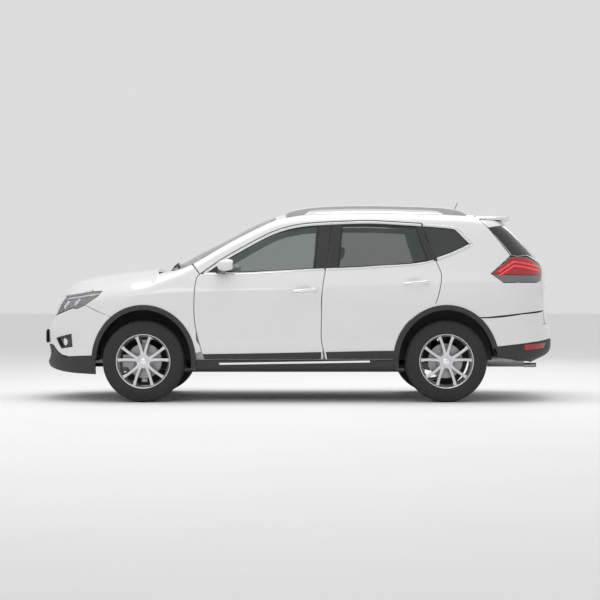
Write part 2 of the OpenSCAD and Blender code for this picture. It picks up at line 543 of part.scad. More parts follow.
// ---- Tail --------------------------------------------------------------------------------------
module rear_bumper() panel() difference() {
  end_slab(1, 335, 815, 114, 20, 7, 0, skin);
  tow_opening(2240, 300, 560);
  for (side = [-1, 1]) right(side) {
    cut_y(to_real([[1500, 751], [1697, 751], [2230, 808], [2240, 690], [2500, 690], [2500, 900], [1500, 900]]), 50);
    arch_cut(rear_axle, 0, 300);
    cut_y(to_real([[1400, 200], [1400, 600], [1796, 600], [1796, 200]]), 300);
  }
  cut_x([for (p = [[-660, 690], [660, 690], [660, 900], [-660, 900]]) [gy(p[0]), gz(p[1])]], gx(1900), gx(2400));
}

module tail_lamps() panel() for (side = [-1, 1]) right(side) intersection() {
  end_slab(1, 1055, 1312, 88, 18, 4, 2, 80);
  cut_y(tail_lamp_outline, 300);
}

module rear_frame() {
  difference() {
    union() {
      block(2180.3, 2235, -540, 540, 520, 640);
      block(2230, 2341, -40, 40, 540, 560);
      for (side = [-1, 1]) right(side) block(1850, 2180, 420, 480, 520, 599.7);
    }
    translate([gx(2150), gy(300), gz(560)]) rotate([0, 90, 0]) cylinder(r = tow_thread, h = 120);
  }
}

tail_hinge = [gx(1636), gz(1688)];
tail_hinge_y = gy(180);
rear_window = [for (p = [[-590, 1290], [590, 1290], [540, 1560], [490, 1590], [-490, 1590], [-540, 1560]]) [gy(p[0]), gz(p[1])]];
tailgate_cut = to_real(concat(shift(tailgate_side, panel_gap), [[2400, 700], [2400, 1760]]));
module tailgate() panel() difference() {
  union() {
    difference() {
      intersection() {
        end_slab(1, 700, 1640, 88, 18, 11, 0, tailgate_depth);
        cut_y(tailgate_cut, -1300);
      }
      cut_x(rear_window, gx(1600), gx(2400));
      for (side = [-1, 1]) right(side) grown_cut_y(tail_lamp_outline, panel_gap, 60);
    }
    block(1655, 1860, -440, 440, 1618, 1636);
    for (side = [-1, 1]) right(side) hull() {
      translate([tail_hinge[0], tail_hinge_y, tail_hinge[1]]) rotate([-90, 0, 0]) cylinder(r = 9, h = 24, $fn = 16);
      translate([gx(1656), tail_hinge_y, gz(1620)]) cube([20, 24, 14]);
    }
  }
  for (side = [-1, 1]) right(side) translate([tail_hinge[0], tail_hinge_y - 10, tail_hinge[1]])
    rotate([-90, 0, 0]) bore(5, 60);
}

module tailgate_glass() panel() intersection() {
  end_slab(1, 1280, 1600, 70, 12, 5, 10, 10 + glass);
  translate([gx(1600), 0, 0]) rotate([90, 0, 90]) linear_extrude(1000) offset(delta = -0.3) polygon(rear_window);
}

module spoiler() panel() {
  nx = 6;
  ny = 10;
  spot = function(i, j, t) let(v = mix(-1, 1, j / ny), s = i / nx, bow = 1 - pow(abs(v), 3))
    [gx(mix(1629, mix(1880, 1980, bow), s)), v * gy(mix(568, 545, s)), gz(t == 0 ? mix(mix(1655, 1703, bow), mix(1668, 1692, bow), s)
      : i == 0 ? mix(1655, 1703, bow) - 3.5 : 1640.3)];
  difference() {
    shell([for (i = [0:nx], j = [0:ny]) spot(i, j, 0)], [for (i = [0:nx], j = [0:ny]) spot(i, j, 1)], nx, ny, true);
    for (side = [-1, 1]) right(side) block(1600, 1700, 148, 214, 1600, 1698.7);
  }
}

// ---- Trim on the body --------------------------------------------------------------------------
rail_top = [[-112, 1700], [-66, 1722], [85, 1751], [259, 1765], [561, 1772], [925, 1767], [1289, 1753], [1426, 1735], [1527, 1694]];
module roof_rails() for (side = [-1, 1]) right(side) {
  n = 24;
  spot = function(i, j, low) let(
      x = mix(-112, 1527, i / n), y = gy(side_y(x, top_z(x))) - 5 - 30 * j,
      foot = top_z(x) + 0.3, top = max(value(x, rail_top), foot + 5),
      free = x > 60 && x < 1300 ? top - 30 : foot
    ) [gx(x), y, gz(low ? max(foot, free) : top)];
  shell([for (i = [0:n], j = [0:1]) spot(i, 1 - j, false)], [for (i = [0:n], j = [0:1]) spot(i, 1 - j, true)], n, 1, true);
}

// Arch trims: a band round each wheel opening, from angle a0 at the front to a1 at the rear
module arch_trim(axle, a0, a1, inner, n = 18) {
  u = function(x) x < 0 ? grid_front_axle + (x - front_axle) * (x < front_axle ? 970 / front_overhang : 2700 / wheelbase)
    : grid_rear_axle + (x - rear_axle) * (x > rear_axle ? 1030 / rear_overhang : 2700 / wheelbase);
  spot = function(i, j, t) let(
      a = mix(a0, a1, i / n), g = j == 0 ? -12 : trim_rx - arch_rx, x = axle + (arch_rx + g) * cos(a),
      z = tyre_radius + (arch_rz + g) * sin(a)
    ) [x, gy(side_y(u(x), z * 1772 / body_height)) + t, z];
  shell([for (i = [0:n], j = [0:1]) spot(i, j, trim_proud)], [for (i = [0:n], j = [0:1]) spot(i, j, inner)], n, 1);
}
module lower_cladding() for (side = [-1, 1]) right(side) {
  arch_trim(front_axle, 172, -8, 3.4);
  arch_trim(rear_axle, 188, 14, 1);
}

module sills() panel() for (side = [-1, 1]) right(side) difference() {
  side_slab(-915, 885, level(272), level(383 - 6), 8, 2, depth(0), depth(49.3));
  arch_cut(front_axle, 8, 300);
  arch_cut(rear_axle, 8, 300);
}

module quarter_windows() panel() for (side = [-1, 1]) right(side) intersection() {
  side_slab(1100, 1560, level(1250), level(1590), 5, 4, depth(8), depth(8 + glass));
  grown_cut_y(quarter_outline, -0.3, 300);
}

module antenna() translate([gx(1458), 0, gz(value(1458, roof_line))]) {
  translate([-22, -12, 2]) cube([60, 24, 14]);
  translate([0, 0, 8]) rotate([0, 25, 0]) cylinder(r = 3.2, h = 112, $fn = 16);
}

// Underside of the roof above the tailgate hinges
function roof_under(x) = gz(mix(top_z(x) - 3, value(x, roof_line), 0.94)) - roof_depth - 1.6;
// Pins and arms that carry the doors and the tailgate
module hinges() {
  for (side = [-1, 1]) right(side) {
    for (hinge = [[front_hinge_x, front_hinge_y], [rear_hinge_x, rear_hinge_y]], z = hinge_heights) {
      post = hinge[1] - hinge_arm + 0.3;
      translate([hinge[0], hinge[1], z - hinge_half - 12]) cylinder(r = pin_radius, h = 2 * hinge_half + 24);
      translate([hinge[0] - 9, post, z - hinge_half + 6]) cube([18, hinge[1] - post, 2 * hinge_half - 12]);
      translate([hinge[0], hinge[1], z - hinge_half + 6]) cylinder(r = 9, h = 2 * hinge_half - 12);
    }
    difference() {
      translate([0, tail_hinge_y - 6, 0]) rotate([90, 0, 0]) linear_extrude(20)
        polygon(concat(to_real([[1540, 1650], [1646, 1650], [1646, 1694], [1632, 1694], [1627, 1690],
          [1627, 1677], [1622, 1670]]), [for (x = [1608, 1545]) [gx(x), roof_under(x)]]));
    }
    translate([tail_hinge[0], tail_hinge_y - 8, tail_hinge[1]]) rotate([-90, 0, 0]) cylinder(r = 5, h = 32);
  }
}

// ---- Cabin -------------------------------------------------------------------------------------
module pad(size, r, at = [0, 0, 0], tilt = 0) translate(at) rotate([0, tilt, 0]) hull()
  for (x = [r, size[0] - r], y = [r, size[1] - r], z = [r, size[2] - r]) translate([x, y, z]) sphere(r = r, $fn = 16);
// A rounded profile in the side view, of the given width about y
module cushion(points, r, y, width) translate([0, y + width / 2, 0]) rotate([90, 0, 0])
  linear_extrude(width) offset(r = r, $fn = 12) offset(delta = -r) polygon(to_real(points));
module front_seats() panel() for (side = [-1, 1]) right(side) {
  cushion([[-330, 520], [-330, 650], [100, 615], [300, 1235], [385, 1235], [260, 640], [200, 505]], 35, gy(370), 500);
  cushion([[325, 1270], [360, 1415], [440, 1405], [410, 1270]], 30, gy(370), 250);
  translate([gx(345), gy(370) - 40, gz(1215)]) cube([14, 80, 75]);
  translate([gx(-270), gy(370) - 200, gz(325) + 0.3]) cube([400, 400, gz(560) - gz(325)]);
}
module rear_seat() panel() {
  cushion([[740, 500], [750, 645], [1180, 650], [1085, 520]], 30, 0, 1180);
  cushion([[1085, 590], [1295, 1215], [1390, 1215], [1245, 650], [1140, 610]], 30, 0, 1178);
  for (y = [-380, 0, 380]) {
    cushion([[1325, 1245], [1365, 1375], [1435, 1370], [1410, 1245]], 28, y, 230);
    translate([gx(1355), y - 30, gz(1200)]) cube([14, 60, 60]);
  }
  translate([gx(790), -560, gz(325) + 0.3]) cube([gx(960) - gx(790), 1120, gz(560) - gz(325)]);
}
module dashboard() panel() difference() {
  translate([0, gy(690), 0]) rotate([90, 0, 0]) linear_extrude(2 * gy(690))
    polygon(to_real([[-934.7, 820], [-934.7, 1060], [-880, 1085], [-640, 1060], [-560, 1010], [-575, 930], [-660, 850], [-700, 760], [-800, 720]]));
  translate([gx(-720), gy(-520), gz(600)]) cube([200, gy(300), gz(880) - gz(600)]);
}
wheel_tilt = 25;
module steering_wheel() translate([gx(-455), gy(-370), gz(1000)]) rotate([0, -90 - wheel_tilt, 0]) {
  rotate_extrude() translate([180, 0]) circle(r = 15, $fn = 20);
  for (a = [0, 120, 240]) rotate([0, 0, a]) translate([30, -14, -6]) cube([140, 28, 12]);
  cylinder(r = 60, h = 30, center = true);
  cylinder(r = 18, h = 115.7);
}

// ---- Running gear ------------------------------------------------------------------------------
king_in = 40;
joint_z = 160;
module front_subframe() {
  block(-1620, -1150, -400, 400, 165, 235);
  for (side = [-1, 1]) right(side) translate([front_axle, 0, tyre_radius]) {
    for (s = [-1, 1]) {
      translate([-22, gy(390), s > 0 ? joint_z + 31 : -joint_z - 46]) cube([44, track_y - king_in - gy(390), 15]);
      translate([0, track_y - king_in, s > 0 ? joint_z + 31 : -joint_z - 46]) cylinder(r = 22, h = 15);
      translate([0, track_y - king_in, s > 0 ? joint_z : -joint_z - 40]) cylinder(r = 8, h = 40);
    }
    translate([-22, gy(393) + 0.3, -joint_z - 40]) cube([44, gy(440) - gy(393), 2 * joint_z + 86]);
  }
}
// Steering knuckle with its spindle and brake caliper, in wheel coordinates: +Y is outwards
module knuckle() difference() {
  union() {
    rotate([90, 0, 0]) cylinder(r = 60, h = 50, center = true);
    translate([0, 15, 0]) rotate([-90, 0, 0]) cylinder(r = 20 - pin_clearance, h = 90);
    for (s = [-1, 1]) {
      translate([-24, -25, s > 0 ? 0 : -joint_z - 28]) cube([48, 30, joint_z + 28]);
      translate([-24, 0, s > 0 ? joint_z : -joint_z - 28]) cube([48, 60, 28]);
    }
    translate([-178, -25, -55]) cube([160, 61, 110]);
    translate([-190, -25, -55]) cube([30, 111, 110]);
    translate([-178, 69, -55]) cube([85, 17, 110]);
  }
  translate([0, 80 - king_in, -300]) cylinder(r = 8 + pin_clearance, h = 600);
}
spindle_in = 80;
module rear_subframe() {
  block(1160, 1480, -420, 420, 330, 400);
  for (side = [-1, 1]) right(side) translate([rear_axle, 0, tyre_radius]) {
    translate([-35, gy(400), -30]) cube([70, track_y - spindle_in - gy(400) - 20, 60]);
    translate([0, track_y - spindle_in, 0]) rotate([90, 0, 0]) cylinder(r = 60, h = 50, center = true);
    translate([0, track_y - spindle_in + 15, 0]) rotate([-90, 0, 0]) cylinder(r = 20 - pin_clearance, h = 90);
    translate([-30, gy(430), 0]) cube([60, 60, gz(599.7) - tyre_radius]);
  }
}
module exhaust() {
  translate([gx(1750), gy(-330), gz(370)]) rotate([0, 90, 0]) cylinder(r = 75, h = gx(2080) - gx(1750));
  translate([gx(2079), gy(-330), gz(311)]) rotate([0, 90, 0]) cylinder(r = 20, h = gx(2200) - gx(2079));
  translate([gx(-1100), gy(-60), gz(262)]) rotate([0, 90, 0]) cylinder(r = 28, h = gx(1000) - gx(-1100));
  block(1850, 1900, -340, -320, 430, 599.7);
  block(-300, -270, -70, -50, 280, 299.7);
}
module fuel_tank() block(1500, 1740, -100, 380, 380, 599.7);

// Alloy wheel with its brake disc, in wheel coordinates: +Y is outwards
module wheel() {
  r = rim_radius;
  rotate([-90, 0, 0]) difference() {
    union() {
      rotate_extrude() polygon([
        [r, 98], [r, 106], [r - 8, 106], [r - 26, 92], [r - 30, 0], [r - 26, -92], [r - 8, -106], [r, -106], [r, -98],
        [r - 19, -97], [r - 19, -84], [r - 24, -84], [r - 24, 84], [r - 19, 84], [r - 19, 97]
      ]);
      cylinder(r = 72, h = 30 + 55);
      translate([0, 0, -42]) cylinder(r = 62, h = 60);
      translate([0, 0, -38]) cylinder(r = disc_radius, h = 24);
      for (k = [0:4], s = [-1, 1]) rotate([0, 0, 90 + 72 * k + s * 15]) translate([0, 0, 52]) linear_extrude(26)
        polygon([[55, -15 + s * 6], [r - 27, -11 - s * 8], [r - 27, 11 - s * 8], [55, 15 + s * 6]]);
    }
    translate([0, 0, -50]) cylinder(r = 20, h = 100);
    for (k = [0:4]) rotate([0, 0, 54 + 72 * k]) translate([bolt_circle_radius, 0, 40]) cylinder(r = 7, h = 60);
  }
}
module tyre() {
  r = rim_radius - 18.7;
  h = tyre_radius - r;
  w = tyre_width / 2;
  function side(s) = [[r, s * 84.5], [r, s * 96.7], [r + 18, s * 97.2], [r + h * 0.35, s * (w - 2)], [r + h * 0.5, s * w],
    [r + h * 0.7, s * (w - 3)], [tyre_radius - 10, s * (w - 12)], [tyre_radius, s * (w - 26)]];
  function inside(s) = [[tyre_radius - 16, s * (w - 28)], [r + h * 0.5, s * (w - 10)], [r + 14, s * 86]];
  rotate([-90, 0, 0]) rotate_extrude($fn = 96) polygon(concat(side(1), reversed(side(-1)), reversed(inside(-1)), inside(1)));
}

module at_wheel(axle, side) right(side) translate([axle, track_y, tyre_radius]) children();

// ---- Output ------------------------------------------------------------------------------------
white = "white";
dark = "#25272a";
color(dark) floor_pan();
color(dark) wheel_housings();
color(white) right(-1) body_side();  // body_side_left
color(white) body_side();  // body_side_right
color(white) right(-1) door_frame();  // door_frame_left
color(white) door_frame();  // door_frame_right
color(white) roof_panel();
color(white) front_wings();
color(white) front_bumper();
color(dark) front_frame();
color(dark) radiator();
color(dark) grille();
color("#c8ccd0") headlamps();
color(dark) fog_lamps();
color(white) rear_bumper();
color(dark) rear_frame();
color("#9c1c1c") tail_lamps();
color("#7f8c88", 0.5) windscreen();
color("#4f5c58", 0.6) quarter_windows();
color("#b9bcbf") roof_rails();
color(dark) lower_cladding();
color(dark) sills();
color(dark) cowl();
color(dark) hinges();
color("#7b7468") front_seats();
color("#7b7468") rear_seat();
color(dark) dashboard();
color(dark) steering_wheel();
color("#8b8f92") engine();
color(dark) front_subframe();
color(dark) rear_subframe();
color("#8b8f92") exhaust();
color(dark) fuel_tank();
color(dark) antenna();
color(white) bonnet();
color(white) tailgate();
color("#4f5c58", 0.6) tailgate_glass();
color(white) spoiler();
color(white) right(-1) front_door();  // front_door_left
color(white) front_door();  // front_door_right
color(white) right(-1) rear_door();  // rear_door_left
color(white) rear_door();  // rear_door_right
color("#7f8c88", 0.5) right(-1) door_glass(front_glass_outline, -810, 260);  // front_glass_left
color("#7f8c88", 0.5) door_glass(front_glass_outline, -810, 260);  // front_glass_right
color("#4f5c58", 0.6) right(-1) door_glass(rear_glass_outline, 340, 1000);  // rear_glass_left
color("#4f5c58", 0.6) door_glass(rear_glass_outline, 340, 1000);  // rear_glass_right
color(white) right(-1) door_mirror();  // mirror_left
color(white) door_mirror();  // mirror_right
color("#6d7073") at_wheel(front_axle, -1) translate([0, -80, 0]) knuckle();  // knuckle_left
color("#6d7073") at_wheel(front_axle, 1) translate([0, -80, 0]) knuckle();  // knuckle_right
color("#b9bcbf") at_wheel(front_axle, -1) wheel();  // wheel_front_left
color("#b9bcbf") at_wheel(front_axle, 1) wheel();  // wheel_front_right
color("#b9bcbf") at_wheel(rear_axle, -1) wheel();  // wheel_rear_left
color("#b9bcbf") at_wheel(rear_axle, 1) wheel();  // wheel_rear_right
color("#17181a") at_wheel(front_axle, -1) tyre();  // tyre_front_left
color("#17181a") at_wheel(front_axle, 1) tyre();  // tyre_front_right
color("#17181a") at_wheel(rear_axle, -1) tyre();  // tyre_rear_left
color("#17181a") at_wheel(rear_axle, 1) tyre();  // tyre_rear_right
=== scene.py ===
# %% [markdown]
# # A white five-door family SUV
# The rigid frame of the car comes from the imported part: every body, joint and size is fixed there. This script
# builds what the eye sees round that frame: pressed panels, glass, lamps, wheels, seats and trim.
# Every surface below is a formula over two parameters, so a panel and its neighbour share one skin exactly.

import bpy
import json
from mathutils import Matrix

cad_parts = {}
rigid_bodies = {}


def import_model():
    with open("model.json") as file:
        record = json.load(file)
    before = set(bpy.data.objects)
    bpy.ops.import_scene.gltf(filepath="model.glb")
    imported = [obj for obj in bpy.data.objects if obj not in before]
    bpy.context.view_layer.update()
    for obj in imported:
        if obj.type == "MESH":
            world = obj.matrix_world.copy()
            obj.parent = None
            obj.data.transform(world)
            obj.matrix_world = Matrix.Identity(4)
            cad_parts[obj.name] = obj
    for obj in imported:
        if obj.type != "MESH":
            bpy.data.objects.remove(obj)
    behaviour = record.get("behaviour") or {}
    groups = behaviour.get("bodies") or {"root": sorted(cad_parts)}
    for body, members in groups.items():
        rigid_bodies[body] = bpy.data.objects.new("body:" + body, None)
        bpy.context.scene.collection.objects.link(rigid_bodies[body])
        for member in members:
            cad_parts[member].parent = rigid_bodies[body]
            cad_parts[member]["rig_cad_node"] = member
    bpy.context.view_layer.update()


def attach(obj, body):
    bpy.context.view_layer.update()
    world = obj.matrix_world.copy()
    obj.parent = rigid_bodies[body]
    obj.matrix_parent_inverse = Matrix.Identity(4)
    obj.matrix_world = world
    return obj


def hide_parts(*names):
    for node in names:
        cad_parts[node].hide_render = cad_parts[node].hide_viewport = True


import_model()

import json
import math

import bmesh
import bpy
import numpy as np
from mathutils import Vector
from mathutils.geometry import delaunay_2d_cdt

# %% [markdown]
# ## Tables and smooth lines
# A car body is drawn as a few master lines. Each line is a short table, and a smooth cubic runs through it, as a
# draughtsman's spline does. The same tables shape the CAD part, so the two skins coincide.

# %% Smooth lines through tables
MM = 0.001


def at(x, rows):
    """Smooth value at x of a table of (x, value): a cubic between each two rows whose end slopes are those of the
    chord from the row before to the row after."""
    p = np.asarray(rows, float)
    x = np.asarray(x, float)
    last = len(p) - 1
    i = np.clip(np.searchsorted(p[:, 0], x, side="right") - 1, 0, last - 1)
    h = p[i + 1, 0] - p[i, 0]
    t = np.clip((x - p[i, 0]) / h, 0, 1)

    def slope(k):
        a, b = np.maximum(k - 1, 0), np.minimum(k + 1, last)
        return (p[b, 1] - p[a, 1]) / (p[b, 0] - p[a, 0])

    m0, m1 = slope(i) * h, slope(i + 1) * h
    t2, t3 = t * t, t * t * t
    return (2 * t3 - 3 * t2 + 1) * p[i, 1] + (t3 - 2 * t2 + t) * m0 + (3 * t2 - 2 * t3) * p[i + 1,
            1] + (t3 - t2) * m1


def through(points, n=6):
    """Points on the smooth line through the given ones, n steps between each two (Catmull and Rom's rule)."""
    p = np.asarray(points, float)
    q = np.vstack([p[0], p, p[-1]])
    t = np.linspace(0, 1, n, endpoint=False)[None, :, None]
    a, b, c, d = q[:-3, None], q[1:-2, None], q[2:-1, None], q[3:, None]
    line = 0.5 * (2 * b + (c - a) * t + (2 * a - 5 * b + 4 * c - d) * t**2 + (3 * b - a - 3 * c + d) * t**3)
    return np.vstack([line.reshape(-1, p.shape[1]), p[-1]])


def ease(x, a, b):
    """0 below a, 1 above b, and a smooth S between."""
    t = np.clip((np.asarray(x, float) - a) / (b - a), 0, 1)
    return t * t * (3 - 2 * t)


def along(x, rows):
    """Points (x, height) of a table's line at the stations x."""
    return np.stack([x, at(x, rows)], -1)


def station(z, rows):
    """Where a line of (x, z) rows reaches height z."""
    return at(z, [[b, a] for a, b in rows])


def mix(a, b, t):
    return a + (b - a) * t


# %% [markdown]
# ## The skin of the body
# The half width of the car at a station x and a height z is a waist line, times a section, times a rounding at
# nose and tail, less the roll-in under the roof edge. Creases, scoops and arch flares are small terms added to it.

# %% The master lines, in millimetres
FRONT_AXLE, REAR_AXLE, WHEEL_R = -1380.0, 1320.0, 366.0
TRACK_Y = 796.5
waist = [[-2350, 900], [-1380, 918], [-900, 907], [0, 916], [700, 920], [1320, 921], [1800, 905], [2350, 880]]
section = [
    [200, 0.925], [300, 0.955], [400, 0.975], [470, 0.984], [520, 0.978], [570, 0.970], [640, 0.974], [750, 0.988],
    [850, 0.996], [930, 0.995], [1000, 0.985], [1080, 0.960], [1177, 0.917], [1300, 0.868], [1400, 0.828],
    [1500, 0.787], [1600, 0.742], [1650, 0.712], [1700, 0.672], [1760, 0.600]]
top_line = [
    [-2250, 945], [-2147, 957], [-1990, 975], [-1858, 1008], [-1709, 1052], [-1530, 1092], [-1341, 1120],
    [-1247, 1148], [-1090, 1180], [-949, 1236], [-608, 1435], [-378, 1556], [-217, 1630], [-60, 1670],
    [120, 1693], [561, 1708], [1000, 1703], [1290, 1694], [1538, 1676], [1700, 1650], [1900, 1600]]
roll_in = [[-2250, 10], [-2050, 30], [-1858, 85], [-1700, 130], [-1400, 120], [-1247, 95], [-1090, 60],
           [-900, 45], [-300, 45], [0, 35], [1500, 35], [1900, 30]]
roll_height = [[-2250, 60], [-1858, 120], [-1700, 170], [-1300, 160], [-1090, 90], [-900, 80], [1900, 80]]
nose_line = [[200, -2280], [300, -2325], [342, -2340], [385, -2326], [430, -2322], [520, -2335], [640, -2338],
             [760, -2295], [880, -2245], [965, -2200], [1250, -2120]]
tail_line = [[300, 2080], [363, 2210], [411, 2305], [460, 2342], [540, 2350], [590, 2347], [640, 2338],
             [680, 2318], [745, 2306], [811, 2296], [929, 2286], [1059, 2294], [1163, 2294], [1235, 2268],
             [1335, 2192], [1492, 2045], [1610, 1930], [1720, 1820]]
NOSE_LENGTH = 950
NOSE_POWER, TAIL_POWER = 2.6, 3.0  # how square each end is in plan
tail_length = [[300, 650], [800, 620], [1100, 560], [1300, 420], [1500, 330], [1700, 300]]
bonnet_line = [[-2200, 985], [-2181, 1012], [-2089, 1074], [-1996, 1113], [-1864, 1140], [-1732, 1161],
               [-1600, 1177], [-1469, 1192], [-1336, 1201], [-1200, 1204]]
roof_line = [[-160, 1712], [100, 1735], [561, 1750], [1100, 1738], [1538, 1713], [1660, 1702]]
shoulder_line = [[-1950, 905], [-1500, 955], [-900, 985], [0, 1012], [800, 1042], [1500, 1068], [2250, 1080]]
sill_crease = [[-920, 548], [-400, 552], [200, 566], [700, 612], [960, 700]]
handles = [(56, 1005), (1050, 1073)]  # middle of each door handle: x, z


def corner(s, n, m):
    """Rounding towards an end: 0 at the end, 1 from s = 1 on, along a superellipse between."""
    return (1 - (1 - np.clip(s, 0, 1)) ** n) ** (1 / m)


def half_width(x, z):
    """Half width: waist times section, times the nose and tail roundings, less the roll-in under the top line."""
    h = at(x, roll_height)
    roll = at(x, roll_in) * np.clip((z - at(x, top_line) + h) / h, 0, 1.1) ** 2.5
    nose = corner((x - at(z, nose_line)) / NOSE_LENGTH, NOSE_POWER, 2.3)
    tail = corner((at(z, tail_line) - x) / at(z, tail_length), TAIL_POWER, 2.8)
    return at(x, waist) * at(z, section) * nose * tail - roll


def relief(x, z):
    """What the press adds to the plain skin: a flare round each arch, the shoulder crease, the crease over the
    sill and a scoop behind each handle. A crease is a height that fades as e to the minus distance."""
    out = np.zeros(np.broadcast(x, z).shape)
    for axle in (FRONT_AXLE, REAR_AXLE):
        r = np.hypot((x - axle) / 470, (z - WHEEL_R) / 502)
        out += 7 * np.exp(-(((r - 1) / np.where(r > 1, 0.22, 0.1)) ** 2)) * ease(z, 300, 500)
    d = z - at(x, shoulder_line)
    out += 5.5 * np.exp(-np.abs(d) / np.where(d > 0, 55, 26)) * ease(x, -1950, -1500) * (1 - ease(x, 1900, 2200))
    d = z - at(x, sill_crease)
    out += 5 * np.exp(-np.abs(d) / np.where(d > 0, 26, 70)) * ease(x, -930,
            -700) * (1 - ease(x, 700, 950)) * ease(z, 440, 500)
    for hx, hz in handles:
        r = np.hypot((x - hx) / 92, (z - hz) / 42)
        out -= 13 * np.clip(1 - r * r, 0, 1) ** 1.5
    return out


def flank(u, v, t):
    """The left side at station u and height v, t millimetres under the skin."""
    return np.stack([u, -(half_width(u, v) + relief(u, v) - t), v], -1)


DEG = 16.0  # millimetres of parameter for each degree round the nose or tail, so that cells stay square
PAST = 6.0  # millimetres of station for each degree beyond a right angle


def end_shape(end, z):
    """Station of the nose (end -1) or tail (end 1) at height z, its run back to full width, and its power."""
    if end < 0:
        return at(z, nose_line), NOSE_LENGTH, NOSE_POWER
    return at(z, tail_line), at(z, tail_length), TAIL_POWER


def wrapped(end, u, v, t):
    """The skin round the nose (end -1) or tail (end 1): u / DEG is an angle from the centre line; the station
    falls back by the run times 1 - cos ** (2 / n), which is the corner rounding solved for the station."""
    a = np.radians(u / DEG)
    tip, run, n = end_shape(end, v)
    c, s = np.clip(np.cos(a), 0, 1), np.minimum(np.abs(np.sin(a)), 1)
    s = np.where(np.abs(u / DEG) > 90, 1, s)
    back = run * (1 - c ** (2 / n)) + np.clip(np.abs(u / DEG) - 90, 0, None) * PAST
    x = tip - end * back
    y = np.clip(half_width(x, v), 0, None) + relief(x, v) * ease(np.abs(u / DEG), 25, 60)
    return np.stack([x - end * t * c, np.sign(u) * np.clip(y - t * s, 0, None), v], -1)


def nose(u, v, t):
    return wrapped(-1, u, v, t)


def tail(u, v, t):
    return wrapped(1, u, v, t)


def from_side(end, points):
    """Side-view points (x, z) as points of the wrapped skin: the angle whose station is x."""
    x, z = np.asarray(points, float).T
    tip, run, n = end_shape(end, z)
    share = end * (tip - x) / run
    past = np.clip(share - 1, 0, None) * run / PAST
    angle = np.degrees(np.arccos(np.clip(1 - np.clip(share, 0, 1), 0, 1) ** (n / 2))) + past
    return np.stack([angle * DEG, z], -1)


def from_end(end, points):
    """End-view points (y, z) as points of the wrapped skin: the angle whose half width is y, read off a table."""
    y, z = np.asarray(points, float).T
    u = np.linspace(0, 92, 700) * DEG
    width = wrapped(end, u[:, None] + 0 * z[None], z[None] + 0 * u[:, None], 0)[..., 1]
    width = np.maximum.accumulate(width, 0)
    out = np.array([np.interp(abs(a), width[:, k], u) for k, a in enumerate(y)])
    return np.stack([np.sign(y) * out, z], -1)


def both_sides(right_half):
    """A closed outline from its right half, listed from the bottom of the centre line to its top."""
    left = right_half[::-1] * [-1, 1]
    return np.vstack([right_half, left])


def skin_y(x, z):
    """Half width of the car at one point, as a plain number."""
    return float(half_width(np.array(float(x)), np.array(float(z))))


print("half width at the waist", round(skin_y(0, 930), 1))

# %% [markdown]
# ## Meshes as arrays
# A mesh here is a list of points and a list of face arrays. Pieces are joined, mirrored and turned outwards as
# arrays, and go into Blender in one call each. A closed shell is inside out when its signed volume is negative.

# %% Mesh arrays
def join(*meshes):
    points, faces, start = [], [], 0
    for p, f in meshes:
        points.append(p)
        faces += [k + start for k in f]
        start += len(p)
    return np.vstack(points), faces


def mirrored(mesh):
    return mesh[0] * [1, -1, 1], [f[:, ::-1] for f in mesh[1]]


def moved(mesh, offset):
    return mesh[0] + np.asarray(offset, float), mesh[1]


def turned(mesh, axis, degrees, about=(0, 0, 0)):
    """Turns a mesh about an axis (0 x, 1 y, 2 z) through a point."""
    c, s = math.cos(math.radians(degrees)), math.sin(math.radians(degrees))
    i, j = (axis + 1) % 3, (axis + 2) % 3
    p = mesh[0] - about
    q = p.copy()
    q[:, i], q[:, j] = c * p[:, i] - s * p[:, j], s * p[:, i] + c * p[:, j]
    return q + about, mesh[1]


def outward(mesh):
    """Turns a closed shell's faces outwards: the sum of the cones from the origin to the faces is its volume."""
    p, faces = mesh
    volume = 0.0
    for f in faces:
        for k in range(1, f.shape[1] - 1):
            volume += np.einsum("ij,ij->i", p[f[:, 0]], np.cross(p[f[:, k]], p[f[:, k + 1]])).sum()
    return mesh if volume > 0 else (p, [f[:, ::-1] for f in faces])


def quads(nu, nv, wrap_u=False, wrap_v=False):
    """Faces of a grid of nu by nv points, joined end to end where wrap is set."""
    i = np.arange(nu if wrap_u else nu - 1)
    j = np.arange(nv if wrap_v else nv - 1)
    i, j = (a.ravel() for a in np.meshgrid(i, j, indexing="ij"))
    i2, j2 = (i + 1) % nu, (j + 1) % nv
    return np.stack([i * nv + j, i2 * nv + j, i2 * nv + j2, i * nv + j2], 1)


def shell(outer, inner):
    """Closed solid between two grids of points, with a wall round the rim."""
    nu, nv = outer.shape[:2]
    n = nu * nv
    f = quads(nu, nv)
    grid = np.arange(n).reshape(nu, nv)
    rim = np.concatenate([grid[:, 0], grid[-1, 1:], grid[-2::-1, -1], grid[0, -2:0:-1]])
    nxt = np.roll(rim, -1)
    wall = np.stack([nxt, rim, rim + n, nxt + n], 1)
    return outward((np.vstack([outer.reshape(-1, 3), inner.reshape(-1, 3)]), [f, f[:, ::-1] + n, wall]))


def tube(rings, closed=False, ends=None):
    """A surface through rings of points, joined end to end where closed, else capped round a point at each end."""
    n, m = rings.shape[:2]
    points, faces = rings.reshape(-1, 3), [quads(n, m, closed, True)]
    if not closed:
        points = np.vstack([points, [rings[0].mean(0), rings[-1].mean(0)] if ends is None else ends])
        k = np.arange(m)
        faces.append(np.stack([k, (k + 1) % m, np.full(m, n * m)], 1))
        faces.append(np.stack([(k + 1) % m + (n - 1) * m, k + (n - 1) * m, np.full(m, n * m + 1)], 1))
    return outward((points, faces))


